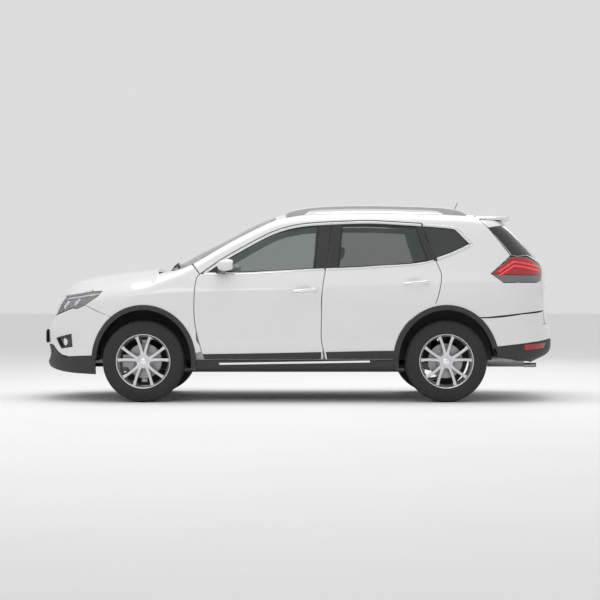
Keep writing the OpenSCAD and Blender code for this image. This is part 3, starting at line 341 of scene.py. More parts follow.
def swept(path, profile, up=(0, 0, 1), closed=False):
    """Carries a closed profile along a path. At each point the profile's first axis is level across the path
    and its second is upright to both; profile may also hold one section for each point."""
    path = np.asarray(path, float)
    profile = np.asarray(profile, float)
    if profile.ndim == 2:
        profile = np.broadcast_to(profile, (len(path), *profile.shape))
    ahead = np.roll(path, -1, 0) - np.roll(path, 1, 0) if closed else np.gradient(path, axis=0)
    ahead /= np.linalg.norm(ahead, axis=1)[:, None]
    across = np.cross(ahead, np.broadcast_to(np.asarray(up, float), path.shape))
    across /= np.linalg.norm(across, axis=1)[:, None]
    rise = np.cross(across, ahead)
    rings = path[:, None] + profile[..., :1] * across[:, None] + profile[..., 1:] * rise[:, None]
    return tube(rings, closed)


def lathe(profile, n=96):
    """Turns a closed profile of (radius, y) about the wheel axis Y."""
    p = np.asarray(profile, float)
    a = np.linspace(0, 2 * np.pi, n, endpoint=False)[:, None]
    points = np.stack([p[:, 0] * np.cos(a), p[:, 1] + 0 * a, p[:, 0] * np.sin(a)], -1)
    return tube(points, True)


def rod(a, b, n, section, **more):
    """A section carried straight from a to b in n rings."""
    return swept(np.linspace(a, b, n), section, **more)


def oval(a, b, n=20, power=2.0):
    """A closed superellipse section of half sizes a and b."""
    t = np.linspace(0, 2 * np.pi, n, endpoint=False)
    c, s = np.cos(t), np.sin(t)
    return np.stack([a * np.sign(c) * np.abs(c) ** (2 / power), b * np.sign(s) * np.abs(s) ** (2 / power)], -1)


def pebble(centre, half, power=(3.0, 3.0), n=28, shape=None):
    """A rounded block: a superellipsoid, square across and up by the two powers, with closed poles."""
    u = np.linspace(0, 2 * np.pi, 2 * n, endpoint=False)[:, None]
    v = np.linspace(-np.pi / 2, np.pi / 2, n)[None, 1:-1]

    def bend(w, p):
        return np.sign(w) * np.abs(w) ** (2 / p)

    ring = [bend(np.cos(v), power[1]) * bend(np.cos(u), power[0]),
            bend(np.cos(v), power[1]) * bend(np.sin(u), power[0]),
            bend(np.sin(v), power[1]) + 0 * u]
    p = np.stack(ring, -1).reshape(-1, 3)
    p = np.vstack([p, [0, 0, -1], [0, 0, 1]])
    nu, nv = 2 * n, n - 2
    k = np.arange(nu)
    low = np.stack([(k + 1) % nu * nv, k * nv, np.full(nu, nu * nv)], 1)
    high = np.stack([k * nv + nv - 1, (k + 1) % nu * nv + nv - 1, np.full(nu, nu * nv + 1)], 1)
    if shape is not None:
        p = shape(p)
    return outward((p * half + centre, [quads(nu, nv, True, False), low, high]))


print("mesh tools ready")

# %% [markdown]
# ## Trimmed panels
# A pressed panel is one skin cut along its outline. The outline and its holes are laid out flat in the skin's own
# two parameters, filled with a net of triangles, and the whole net is lifted onto the skin at once. Towards every
# edge the sheet rolls inwards through a quarter circle, because a real hem has a radius and never a knife edge.

# %% Cutting panels from a skin
def area(loop):
    x, y = loop.T
    return 0.5 * np.sum(x * np.roll(y, -1) - y * np.roll(x, -1))


def wound(loop, sign):
    loop = np.asarray(loop, float)
    loop = loop[np.linalg.norm(loop - np.roll(loop, -1, 0), axis=1) > 0.4]
    return loop if area(loop) * sign > 0 else loop[::-1]


def resampled(loop, step):
    """The same outline with extra points, so that no edge is longer than step."""
    out = []
    for p, q in zip(loop, np.roll(loop, -1, 0)):
        n = max(1, int(np.ceil(np.linalg.norm(q - p) / step)))
        out.append(p + (q - p) * np.linspace(0, 1, n, endpoint=False)[:, None])
    return np.vstack(out)


def inset(loop, d):
    """The outline moved inwards (to its left) by d, each corner along the middle of its two normals."""
    e = np.roll(loop, -1, 0) - loop
    n = np.stack([-e[:, 1], e[:, 0]], -1) / np.linalg.norm(e, axis=1)[:, None]
    m = n + np.roll(n, 1, 0)
    m /= np.maximum((m * m).sum(1) / 2, 0.5)[:, None]
    return loop + d * m


def shrunk(loop, d):
    """Any outline, wound to the left and then moved inwards by d."""
    return inset(wound(loop, 1), d)


def reach(points, loops):
    """Distance from each point to the outlines, and whether it is inside them (an odd number of crossings)."""
    near, crossed = np.full(len(points), 1e9), np.zeros(len(points), int)
    for start in range(0, len(points), 3000):
        p = points[start:start + 3000, None]
        for loop in loops:
            a, b = loop[None], np.roll(loop, -1, 0)[None]
            e = b - a
            t = np.clip(((p - a) * e).sum(-1) / np.maximum((e * e).sum(-1), 1e-12), 0, 1)
            d = np.linalg.norm(p - a - t[..., None] * e, axis=-1).min(1)
            near[start:start + 3000] = np.minimum(near[start:start + 3000], d)
            over = (a[..., 1] > p[..., 1]) != (b[..., 1] > p[..., 1])
            x = a[..., 0] + (p[..., 1] - a[..., 1]) * e[..., 0] / np.where(e[..., 1] == 0, 1e-12, e[..., 1])
            crossed[start:start + 3000] += (over & (p[..., 0] < x)).sum(1)
    return near, crossed % 2 == 1


def net(outline, holes, step, hem):
    """Fills an outline with triangles: a square net inside, two rows along the hem, and the outline itself."""
    loops = [resampled(wound(outline, 1), step)] + [resampled(wound(h, -1), step) for h in holes]
    rims = np.vstack(loops)
    low, high = rims.min(0), rims.max(0)
    grid = np.stack(np.meshgrid(np.arange(low[0], high[0], step), np.arange(low[1], high[1], step)), -1).reshape(-1,
            2)
    rings = np.vstack([inset(loop, k * hem) for loop in loops for k in (0.3, 1)])
    d, ok = reach(rings, loops)
    rings = rings[ok & (d > 0.25 * hem)]
    d, ok = reach(grid, loops)
    grid = grid[ok & (d > hem + 0.35 * step)]
    edges, start = [], 0
    for loop in loops:
        k = np.arange(len(loop))
        edges += np.stack([k + start, (k + 1) % len(loop) + start], 1).tolist()
        start += len(loop)
    flat = np.vstack([rims, rings, grid])
    verts, _, tris, *_ = delaunay_2d_cdt([Vector(p) for p in flat], edges, [], 0, 1e-4, False)
    verts, tris = np.array([tuple(v) for v in verts]), np.array(tris)
    tris = tris[reach(verts[tris].mean(1), loops)[1]]
    used = np.unique(tris)
    index = np.full(len(verts), -1)
    index[used] = np.arange(len(used))
    verts, tris = verts[used], index[tris]
    return verts, tris, reach(verts, loops)[0]


def panel(skin, outline, holes=(), top=0.0, bottom=4.0, hem=2.2, step=14.0):
    """A closed sheet cut from a skin: its outer face lies at depth top and its inner face at depth bottom (a number
    or a function of the parameters). Within hem of an edge the outer face drops by hem - sqrt(hem2 - (hem - d)2)."""
    verts, tris, d = net(outline, holes, step, hem)
    u, v = verts.T
    d = np.minimum(d, hem)
    drop = hem - np.sqrt(np.maximum(hem * hem - (hem - d) ** 2, 0))
    top = top(u, v) if callable(top) else top
    bottom = bottom(u, v) if callable(bottom) else bottom
    outer, inner = skin(u, v, top + drop), skin(u, v, np.maximum(bottom, top + drop + 0.4))
    n = len(verts)
    e = np.vstack([tris[:, [0, 1]], tris[:, [1, 2]], tris[:, [2, 0]]])
    key, back = e[:, 0] * n + e[:, 1], e[:, 1] * n + e[:, 0]
    rim = e[~np.isin(key, back)]
    wall = np.stack([rim[:, 1], rim[:, 0], rim[:, 0] + n, rim[:, 1] + n], 1)
    return outward((np.vstack([outer, inner]), [tris, tris[:, ::-1] + n, wall]))


def offset(line, d):
    """An open line moved to its right by d."""
    t = np.gradient(np.asarray(line, float), axis=0)
    t /= np.linalg.norm(t, axis=1)[:, None]
    return line + d * np.stack([t[:, 1], -t[:, 0]], -1)


def band(line, a, b):
    """The closed outline of the strip from a to b to the right of a line."""
    return np.vstack([offset(line, a), offset(line, b)[::-1]])


print("panel cutter ready")

# %% [markdown]
# ## Finishes
# Each finish is one Principled shader. Constant values sit on the shader's own sockets; grain, mottling and weave
# come from noise and waves on Object coordinates, so they stay with the piece when a door swings.

# %% Finishes
def nodes_of(material):
    tree = material.node_tree
    return tree.nodes, tree.links, tree.nodes["Principled BSDF"]


def finish_of(name, slot, colour, rough, metal=0.0, grain=None, mottle=0.0, patch=60.0, spread=0.0, **sockets):
    """A finish: grain is (size, depth) in millimetres of its bumps, mottle how far the colour drifts over patches
    of the given size, and spread how far the roughness drifts with it."""
    material = bpy.data.materials.new(name)
    material.use_nodes = True
    material["slot"] = slot
    nodes, links, shader = nodes_of(material)
    shader.inputs["Base Color"].default_value = (*colour, 1)
    shader.inputs["Roughness"].default_value = rough
    shader.inputs["Metallic"].default_value = metal
    for key, value in sockets.items():
        shader.inputs[key.replace("_", " ")].default_value = value
    place = nodes.new("ShaderNodeTexCoord").outputs["Object"]
    if grain:
        noise = nodes.new("ShaderNodeTexNoise")
        noise.inputs["Scale"].default_value = 1000 / grain[0]
        noise.inputs["Detail"].default_value = 3
        bump = nodes.new("ShaderNodeBump")
        bump.inputs["Strength"].default_value = 0.6
        bump.inputs["Distance"].default_value = grain[1] * MM
        links.new(place, noise.inputs["Vector"])
        links.new(noise.outputs["Fac"], bump.inputs["Height"])
        links.new(bump.outputs["Normal"], shader.inputs["Normal"])
    if mottle or spread:
        cloud = nodes.new("ShaderNodeTexNoise")
        cloud.inputs["Scale"].default_value = 1000 / patch
        cloud.inputs["Detail"].default_value = 5
        links.new(place, cloud.inputs["Vector"])
        if mottle:
            ramp = nodes.new("ShaderNodeValToRGB")
            ramp.color_ramp.elements[0].position, ramp.color_ramp.elements[1].position = 0.3, 0.7
            ramp.color_ramp.elements[0].color = (*[c * (1 - mottle) for c in colour], 1)
            ramp.color_ramp.elements[1].color = (*[min(1, c * (1 + mottle)) for c in colour], 1)
            links.new(cloud.outputs["Fac"], ramp.inputs["Fac"])
            links.new(ramp.outputs["Color"], shader.inputs["Base Color"])
        if spread:
            span = nodes.new("ShaderNodeMapRange")
            span.inputs["To Min"].default_value = max(0.02, rough - spread)
            span.inputs["To Max"].default_value = min(1, rough + spread)
            links.new(cloud.outputs["Fac"], span.inputs["Value"])
            links.new(span.outputs["Result"], shader.inputs["Roughness"])
    return material


def woven(material, pitch, depth):
    """Adds a plain weave: the waves along X and Y are multiplied, and the wave along Z is added."""
    nodes, links, shader = nodes_of(material)
    place = nodes.new("ShaderNodeTexCoord").outputs["Object"]
    waves = []
    for axis in ("X", "Y", "Z"):
        wave = nodes.new("ShaderNodeTexWave")
        wave.bands_direction = axis
        wave.inputs["Scale"].default_value = 2 * math.pi / (20 * pitch * MM)
        wave.inputs["Distortion"].default_value = 0.4
        links.new(place, wave.inputs["Vector"])
        waves.append(wave.outputs["Fac"])
    total = waves[0]
    for wave in waves[1:]:
        add = nodes.new("ShaderNodeMath")
        add.operation = "MULTIPLY" if wave is waves[1] else "ADD"
        links.new(total, add.inputs[0])
        links.new(wave, add.inputs[1])
        total = add.outputs[0]
    bump = nodes.new("ShaderNodeBump")
    bump.inputs["Distance"].default_value = depth * MM
    links.new(total, bump.inputs["Height"])
    links.new(bump.outputs["Normal"], shader.inputs["Normal"])
    return material


white = finish_of("white_paint", "body_paint", (0.74, 0.74, 0.735), 0.34, grain=(5, 0.004), mottle=0.012, patch=400,
                  spread=0.03, Coat_Weight=1.0, Coat_Roughness=0.03)
plastic = finish_of("textured_black_plastic", "black_plastic", (0.028, 0.029, 0.031), 0.62, grain=(1.1, 0.12),
                    mottle=0.18,
                    patch=30, spread=0.08)
gloss_black = finish_of("gloss_black", "black_plastic", (0.012, 0.013, 0.014), 0.12, grain=(8, 0.004), spread=0.03,
                        Coat_Weight=0.6, Coat_Roughness=0.04)
rubber = finish_of("tyre_rubber", "tyre_rubber", (0.022, 0.022, 0.023), 0.78, grain=(0.8, 0.06), mottle=0.25,
                   patch=45,
                   spread=0.1)
seal = finish_of("rubber_seal", "black_plastic", (0.015, 0.015, 0.016), 0.7, grain=(1.5, 0.04), spread=0.05)
chrome = finish_of("bright_trim", "satin_metal", (0.86, 0.87, 0.88), 0.13, 1.0, grain=(20, 0.003), spread=0.05)
satin = finish_of("satin_aluminium", "satin_metal", (0.50, 0.51, 0.52), 0.36, 1.0, grain=(0.9, 0.02), mottle=0.04,
                  spread=0.06)
alloy = finish_of("alloy_lacquer", "alloy", (0.66, 0.67, 0.69), 0.30, 0.85, grain=(1.5, 0.012), mottle=0.03,
                  spread=0.05,
                  Coat_Weight=0.6, Coat_Roughness=0.08)
alloy_dark = finish_of("alloy_inner", "alloy", (0.16, 0.165, 0.17), 0.45, 0.6, grain=(2, 0.03), mottle=0.2,
                       spread=0.1)
iron = finish_of("turned_iron", "alloy", (0.34, 0.335, 0.33), 0.32, 1.0, grain=(0.7, 0.03), mottle=0.12, spread=0.1)
steel = finish_of("coated_steel", "dark_steel", (0.035, 0.036, 0.038), 0.6, 0.2, grain=(4, 0.12), mottle=0.3,
                  patch=80, spread=0.12)
metal = finish_of("bare_metal", "bare_metal", (0.42, 0.42, 0.41), 0.42, 0.9, grain=(3, 0.12), mottle=0.15,
                  spread=0.1)
screen = finish_of("screen_glass", "clear_glass", (0.045, 0.075, 0.068), 0.03, mottle=0.04, patch=300, Alpha=0.42,
                   IOR=1.5,
                   Coat_Weight=1.0, Coat_Roughness=0.01)
side_glass = finish_of("side_glass", "clear_glass", (0.09, 0.135, 0.12), 0.03, mottle=0.04, patch=300, Alpha=0.32,
                       IOR=1.5,
                       Coat_Weight=0.6, Coat_Roughness=0.01)
tinted = finish_of("tinted_glass", "dark_glass", (0.06, 0.085, 0.08), 0.03, mottle=0.04, patch=300, Alpha=0.40,
                   IOR=1.5,
                   Coat_Weight=0.6, Coat_Roughness=0.01)
privacy = finish_of("privacy_glass", "dark_glass", (0.018, 0.021, 0.022), 0.04, mottle=0.04, patch=300, Alpha=0.86,
                    IOR=1.5,
                    Coat_Weight=1.0, Coat_Roughness=0.01)
lens = finish_of("clear_lens", "lamp_clear", (0.75, 0.78, 0.80), 0.03, grain=(30, 0.004), Alpha=0.16, IOR=1.5,
                 Coat_Weight=1.0, Coat_Roughness=0.01)
lamp_glass = finish_of("projector_glass", "lamp_clear", (0.62, 0.68, 0.74), 0.05, grain=(12, 0.01), Coat_Weight=1.0,
                       Coat_Roughness=0.02, Emission_Color=(0.7, 0.8, 1, 1), Emission_Strength=0.06)
amber = finish_of("amber_lens", "lamp_clear", (0.75, 0.25, 0.02), 0.15, grain=(4, 0.03), mottle=0.1, patch=10,
                  Coat_Weight=1.0,
                  Coat_Roughness=0.03)
red_lens = finish_of("red_lens", "lamp_red", (0.42, 0.008, 0.014), 0.08, grain=(3, 0.03), mottle=0.1, patch=20,
                     Alpha=0.86,
                     Coat_Weight=1.0, Coat_Roughness=0.02)
red_bar = finish_of("red_light_bar", "lamp_red", (0.95, 0.02, 0.03), 0.12, grain=(3, 0.02), spread=0.03,
                    Coat_Weight=1.0,
                    Coat_Roughness=0.02, Emission_Color=(1, 0.05, 0.05, 1), Emission_Strength=0.25)
smoke_lens = finish_of("smoked_lens", "lamp_red", (0.03, 0.03, 0.032), 0.05, grain=(3, 0.02), spread=0.03,
                       Alpha=0.88,
                       Coat_Weight=1.0, Coat_Roughness=0.02)
plate = finish_of("blank_plate", "body_paint", (0.78, 0.78, 0.76), 0.4, grain=(2, 0.01), mottle=0.02)
cabin = finish_of("cabin_plastic", "cabin_plastic", (0.045, 0.045, 0.047), 0.66, grain=(1.4, 0.15), mottle=0.12,
                  patch=40, spread=0.06)
lining = finish_of("roof_lining", "cabin_plastic", (0.42, 0.41, 0.39), 0.9, grain=(0.9, 0.15), mottle=0.06)
carpet = finish_of("carpet", "dark_steel", (0.03, 0.03, 0.032), 0.95, grain=(1.6, 0.9), mottle=0.3, patch=8)
fabric = woven(finish_of("seat_cloth", "seat_fabric", (0.055, 0.056, 0.06), 0.88, mottle=0.16, patch=14,
                         Sheen_Weight=0.35,
                         Sheen_Roughness=0.5), 2.4, 0.5)
print(len(bpy.data.materials), "finishes")


# %% [markdown]
# ## Placing a piece
# A piece takes its finish, rides on one body of the frame and may stand for a plain CAD solid, which is then
# hidden. Left and right pieces are one mesh and its mirror image.

# %% Placing a piece
def build(name, mesh, finish, body, stands_for=(), paints=None, crisp=52, weld=False):
    """Puts arrays into a Blender mesh in one go; paints gives each face array its place in the list of finishes."""
    points, faces = mesh
    finish = finish if isinstance(finish, list) else [finish]
    data = bpy.data.meshes.new(name)
    data.vertices.add(len(points))
    data.vertices.foreach_set("co", (points * MM).astype(np.float32).ravel())
    sizes = np.concatenate([np.full(len(f), f.shape[1]) for f in faces])
    loops = np.concatenate([f.ravel() for f in faces]).astype(np.int32)
    data.loops.add(len(loops))
    data.loops.foreach_set("vertex_index", loops)
    data.polygons.add(len(sizes))
    data.polygons.foreach_set("loop_start", np.concatenate([[0], np.cumsum(sizes)[:-1]]).astype(np.int32))
    for material in finish:
        data.materials.append(material)
    if paints is not None:
        index = np.concatenate([np.full(len(f), k) for f, k in zip(faces, paints)]).astype(np.int32)
        data.polygons.foreach_set("material_index", index)
    data.update(calc_edges=True)
    data.validate()
    if weld:
        bm = bmesh.new()
        bm.from_mesh(data)
        bmesh.ops.remove_doubles(bm, verts=bm.verts, dist=1e-6)
        bmesh.ops.recalc_face_normals(bm, faces=bm.faces)
        bm.to_mesh(data)
        bm.free()
    data.shade_smooth()
    data.set_sharp_from_angle(angle=math.radians(crisp))
    piece = bpy.data.objects.new(name, data)
    bpy.context.scene.collection.objects.link(piece)
    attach(piece, body)
    if stands_for:
        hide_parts(*stands_for)
    return piece


def pair(name, mesh, finish, body, stands_for=(), **more):
    """The left piece and its mirror image; {} in the names becomes the side."""
    for side in ("left", "right"):
        build(f"{name}_{side}", mesh if side == "left" else mirrored(mesh), finish, body.format(side),
              [n.format(side) for n in stands_for if side == "left" or "{}" in n], **more)


def both(name, mesh, finish, body="body", stands_for=()):
    """A piece of the right half and its mirror image."""
    pair(name, mirrored(mesh), finish, body, stands_for)


def circle(centre, r, n):
    a = np.linspace(0, 2 * np.pi, n, endpoint=False)
    return np.stack([centre[0] + r * np.cos(a), centre[1] + r * np.sin(a)], -1)


def domed(centre, top, fall):
    """Depth of a lens: top at its middle, and deeper by the square of the distance over fall."""
    return lambda u, v: top + ((u - centre[0]) ** 2 + (v - centre[1]) ** 2) / fall


def bar_along(end, y, z, depth, section):
    """A bar carried along the nose or tail through end-view points (y, z), at a depth under the skin."""
    line = from_end(end, np.stack([y, z + 0 * y], -1))
    return swept(wrapped(end, line[:, 0], line[:, 1], depth), section)


# %% [markdown]
# ## Doors
# A side door is a deep pressed box with a thin lip at its front and rear edges, where the hinge pillar needs room.
# The skin reaches up to the belt line; above it stands the black window frame. Both are cut from the flank.

# %% Door outlines
front_door_front = [[-837, 383], [-882, 540], [-912, 667], [-924, 780], [-925, 894], [-917, 1031], [-902, 1110],
                    [-871, 1145]]
front_door_top = [[-871, 1145], [-683, 1277], [-490, 1390], [-261, 1512], [-89, 1573], [85, 1603], [304, 1618]]
pillar_line = [[242, 383], [225, 463], [208, 542], [205, 660], [208, 780], [210, 928], [225, 1076], [243, 1173],
               [267, 1317], [304, 1618]]
rear_door_top = [[304, 1618], [559, 1627], [758, 1624], [1110, 1602]]
rear_door_rear = [[1208, 851], [1241, 941], [1266, 1040], [1276, 1115], [1269, 1166], [1234, 1255], [1159, 1446],
                  [1110, 1602]]
front_window = [[-800, 1158], [-672, 1262], [-483, 1372], [-258, 1492], [-89, 1550], [85, 1580], [188, 1587]]
belt_line = [[-852, 1143], [-520, 1143], [-258, 1156], [84, 1174], [238, 1180], [552, 1192], [749, 1206],
             [1026, 1224],
             [1228, 1262], [1516, 1385]]
front_glass = np.vstack([[[-790, 1150]], through(front_window),
                         [[168, 1317], [150, 1185], [-260, 1164], [-520, 1152]]])
rear_glass = np.array([[392, 1592], [758, 1590], [900, 1585], [1062, 1575], [1105, 1440], [1170, 1264],
                       [1026, 1234],
                       [749, 1214], [552, 1202], [352, 1194]], float)
GAP = 6.0  # shut line between a moving panel and its neighbour
ARCH = (436.0, 468.0)  # half width and rise of the wheel openings
TRIM = (470.0, 502.0)  # the same at the outer edge of the arch trims


def arc(axle, size, a0, a1, n=40):
    a = np.radians(np.linspace(a0, a1, n))
    return np.stack([axle + size[0] * np.cos(a), WHEEL_R + size[1] * np.sin(a)], -1)


def belt(x0, x1, n=40):
    x = np.linspace(x0, x1, n)
    return along(x, belt_line)


def pillar(z0, z1, side, n=40):
    z = np.linspace(z0, z1, n)
    return np.stack([station(z, pillar_line) + side * GAP / 2, z], -1)


front_edge = through(front_door_front)
door_arc = arc(REAR_AXLE, (TRIM[0] + GAP, TRIM[1] + GAP), 102, 176)
rear_edge = through(rear_door_rear)
low_rear = rear_edge[rear_edge[:, 1] < 1258]
high_rear = rear_edge[rear_edge[:, 1] >= 1258]
front_rear = pillar(1178, 383, -1, 70)
front_rear[:, 0] -= 2.6 * ease(front_rear[:, 1], 840, 850) * (1 - ease(front_rear[:, 1], 955, 965))
front_rear[:, 0] = np.where(front_rear[:, 1] < 467, np.minimum(front_rear[:, 0], 218), front_rear[:, 0])
outlines = {
    "front_skin": np.vstack([front_edge, belt(-862, 236), front_rear]),
    "front_frame": np.vstack([belt(-860, 238)[::-1], through(front_door_top), pillar(1616, 1182, -1)]),
    "rear_skin": np.vstack([pillar(383, 1180, 1), belt(246, 1230), low_rear[::-1], door_arc, [[842, 383]]]),
    "rear_frame": np.vstack([belt(248, 1229)[::-1], pillar(1184, 1616, 1), through(rear_door_top),
                             high_rear[::-1]]),
}


def front_door_x(z):
    return np.where(z < 1145, station(z, front_door_front), station(z, front_door_top))


def rear_door_x(z):
    h = (z - WHEEL_R) / (TRIM[1] + GAP)
    round_arch = REAR_AXLE - (TRIM[0] + GAP) * np.sqrt(np.clip(1 - h * h, 0, 1))
    return np.where(h < 1, np.minimum(station(z, rear_door_rear), round_arch), station(z, rear_door_rear))


edges_of = {
    "front": (front_door_x, lambda z: station(z, pillar_line) - GAP / 2),
    "rear": (lambda z: station(z, pillar_line) + GAP / 2, rear_door_x),
}


def door_depth(end, most=104.0):
    """Depth of a door under its skin: a 4 mm lip along both edges, then the 29 mm frame, and the trimmed middle."""
    def depth(u, v):
        x0, x1 = edges_of[end][0](v), edges_of[end][1](v)
        edge = np.minimum(u - x0, x1 - u) / np.clip((x1 - x0) / 330, 0.05, 1)
        middle = np.clip(np.minimum(np.minimum((edge - 75) / 60, (v - 458) / 60), (1105 - v) / 60), 0, 1)
        return mix(3.9, mix(29.0, most, middle), ease(edge, 26.5, 46))
    return depth


# %% Door skins, window frames and glass
for end in ("front", "rear"):
    door = f"{end}_door_{{}}"
    glass_line = front_glass if end == "front" else rear_glass
    skin = panel(flank, outlines[f"{end}_skin"], bottom=door_depth(end), step=13)
    pair(f"{end}_door_skin", skin, [white, cabin], door, [door], paints=[0, 1, 0])
    frame_panel = panel(flank, outlines[f"{end}_frame"], [glass_line], bottom=door_depth(end), step=12)
    pair(f"{end}_door_window_frame", frame_panel, gloss_black, door)
    pane = panel(flank, shrunk(glass_line, 0.4), top=9.0, bottom=13.5, hem=0.8, step=26)
    pair(f"{end}_door_glass", pane, side_glass if end == "front" else tinted, door, [f"{end}_glass_{{}}"])
    rim = panel(flank, shrunk(glass_line, 0.3), [shrunk(glass_line, 13)], top=3.5, bottom=8.6, hem=2, step=18)
    pair(f"{end}_door_glass_seal", rim, seal, door)
    print(end, "door skin", len(skin[0]), "points")

# %% [markdown]
# ## Door trim
# Bright strips run along the top of the doors and along the belt, a dark textured board covers the foot of each
# door, and a card with an armrest and a pocket lines the inside.

# %% Bright strips, foot boards and door cards
top_front, top_rear = through(front_door_top, 10), through(rear_door_top, 14)
for name, line, a, b, body in (
    ("front_door_top_strip", top_front[top_front[:, 0] > -846], 4, 24, "front_door_{}"),
    ("rear_door_top_strip", top_rear + [3, 0], 4, 24, "rear_door_{}"),
    ("front_door_belt_strip", belt(-846, 233), -13, 1, "front_door_{}"),
    ("rear_door_belt_strip", belt(247, 1216), -13, 1, "rear_door_{}"),
):
    pair(name, panel(flank, band(line, a, b), top=-3.2, bottom=2.0, hem=1.8, step=12), chrome, body)
cladding_line = [[-905, 429], [-257, 439], [550, 456], [870, 461]]
z_line = np.linspace(385, 430, 6)
front_foot = np.vstack([
    np.stack([station(z_line, front_door_front) + 1, z_line], -1),
    along(np.linspace(-845, 204, 40), cladding_line), [[205, 440], [205, 385]]])
foot_arc = arc(REAR_AXLE, (TRIM[0] + GAP + 1, TRIM[1] + GAP + 1), 169.5, 176, 6)
rear_foot = np.vstack([pillar(385, 449, 1, 6) + [14, 0], np.stack([np.linspace(252, 846, 30),
        at(np.linspace(236, 846, 30), cladding_line)], -1),
                       foot_arc, [[843, 385]]])
for end, foot in (("front", front_foot), ("rear", rear_foot)):
    pair(f"{end}_door_foot_board", panel(flank, foot, top=-5.0, bottom=2.0, hem=3.0, step=10), plastic,
         f"{end}_door_{{}}")


def card_outline(end):
    z = np.linspace(470, 1090, 24)
    return np.vstack([np.stack([edges_of[end][1](z) - 95, z], -1),
                      np.stack([edges_of[end][0](z) + 95, z], -1)[::-1]])


def card_face(end):
    """Inner face of a door card: the door's depth and 5 mm, less a shallow pocket low down."""
    middle = -330 if end == "front" else 640

    def face(u, v):
        pocket = 3.6 * np.exp(-(((u - middle) / 260) ** 4) - ((v - 560) / 50) ** 4)
        return door_depth(end, 103)(u, v) + 5 - pocket
    return face


for end in ("front", "rear"):
    card = panel(flank, card_outline(end), top=lambda u, v, e=end: door_depth(e, 100)(u, v) - 4,
                 bottom=card_face(end), hem=1, step=20)
    pair(f"{end}_door_card", card, cabin, f"{end}_door_{{}}")
    centre = -330 if end == "front" else 620
    rest = pebble((centre, -(skin_y(centre, 800) - 128), 800), (210, 24, 22), (4, 3), 20)
    pair(f"{end}_door_armrest", rest, cabin, f"{end}_door_{{}}")
print("door trim done")


# %% [markdown]
# ## Handles and mirrors
# A pull handle is an oval bar that leaves the skin at both ends and spans the scoop. The mirror is a rounded shell
# on a dark foot, with a bright glass facing rearwards.

# %% Handles
for (hx, hz), end in zip(handles, ("front", "rear")):
    s = np.linspace(0, 1, 40)
    x = hx - 118 + 236 * s
    z = hz - 8 + 14 * (s - 0.5)
    proud = 3 + 20 * np.sin(np.pi * s) ** 0.45
    path = np.stack([x, -(half_width(x, z) + proud), z], -1)
    size = np.clip(np.sin(np.pi * np.clip(s, 0.012, 0.988)) ** 0.3, 0.2, 1)[:, None, None]
    bar = swept(path, oval(7.5, 12.5, 24, 2.6)[None] * size)
    pair(f"{end}_door_handle", bar, chrome, f"{end}_door_{{}}")
    cap_x = hx + 88
    lock = pebble((cap_x, -(skin_y(cap_x, hz) + 20.5), hz + 1.5), (24, 8, 13.5), (3, 3), 14)
    pair(f"{end}_door_handle_cap", lock, chrome, f"{end}_door_{{}}")

# %% Mirrors
mirror_y = skin_y(-700, 1150)


def housing(p):
    """Swells the outer end, narrows the root and flattens the side that holds the glass."""
    q = p.copy()
    q[:, 2] *= 1 - 0.16 * (p[:, 1] + 1) / 2
    q[:, 0] *= 1 - 0.10 * (p[:, 1] + 1) / 2
    q[:, 0] = np.where(q[:, 0] > 0.72, 0.72 + (q[:, 0] - 0.72) * 0.15, q[:, 0])
    q[:, 2] += 0.10 * q[:, 0]
    return q


mirror_at = np.array([-640.0, -(mirror_y + 124), 1222.0])
mirror_half = np.array([80.0, 86.0, 56.0])
pair("mirror_housing", pebble(mirror_at, mirror_half, (2.5, 2.5), 30, housing), white, "front_door_{}",
     ["mirror_{}"])
pair("mirror_glass", pebble(mirror_at + [60, 0, 3], (5, 70, 43), (3, 3), 20), chrome, "front_door_{}")
# Painted shade: a thin gloss black line round the white housing stands for the shadow of a crease that the housing's
# shape does not have
t = np.linspace(0, 2 * np.pi, 60, endpoint=False)
crease = np.stack([mirror_at[0] + 4 + 77 * np.cos(t), mirror_at[1] + 83 * np.sin(t),
                   mirror_at[2] - 8 + 6 * np.cos(t)], -1)
crease = crease[(crease[:, 0] < mirror_at[0] + 50)]
order = np.argsort(np.unwrap(np.arctan2(crease[:, 1] - mirror_at[1], -(crease[:, 0] - mirror_at[0]))))
pair("mirror_crease", swept(crease[order], oval(2.5, 2.5, 10)), gloss_black, "front_door_{}")
s = np.linspace(0, 1, 16)[:, None]
foot = mix(np.array([-704.0, -(mirror_y - 12), 1158.0]), np.array([-650.0, -(mirror_y + 92), 1180.0]), s)
pair("mirror_foot", swept(foot, oval(1, 1, 24, 3)[None] * (np.array([34, 14]) * (1.15 - 0.25 * s))[:, None]),
     gloss_black, "front_door_{}")
sail = np.array([[-838, 1152], [-700, 1248], [-668, 1262], [-690, 1152]], float)
pair("mirror_sail", panel(flank, sail, top=-1.5, bottom=4, hem=1.5, step=14), gloss_black, "front_door_{}")
print("mirror stands", round(mirror_y + 210), "mm from the centre line")

# %% [markdown]
# ## Body side
# One pressing carries the screen pillar, the roof edge and the rear quarter. Its outline follows each neighbour at
# one shut line's width. Inside the bright ring round the quarter window the panel is black.

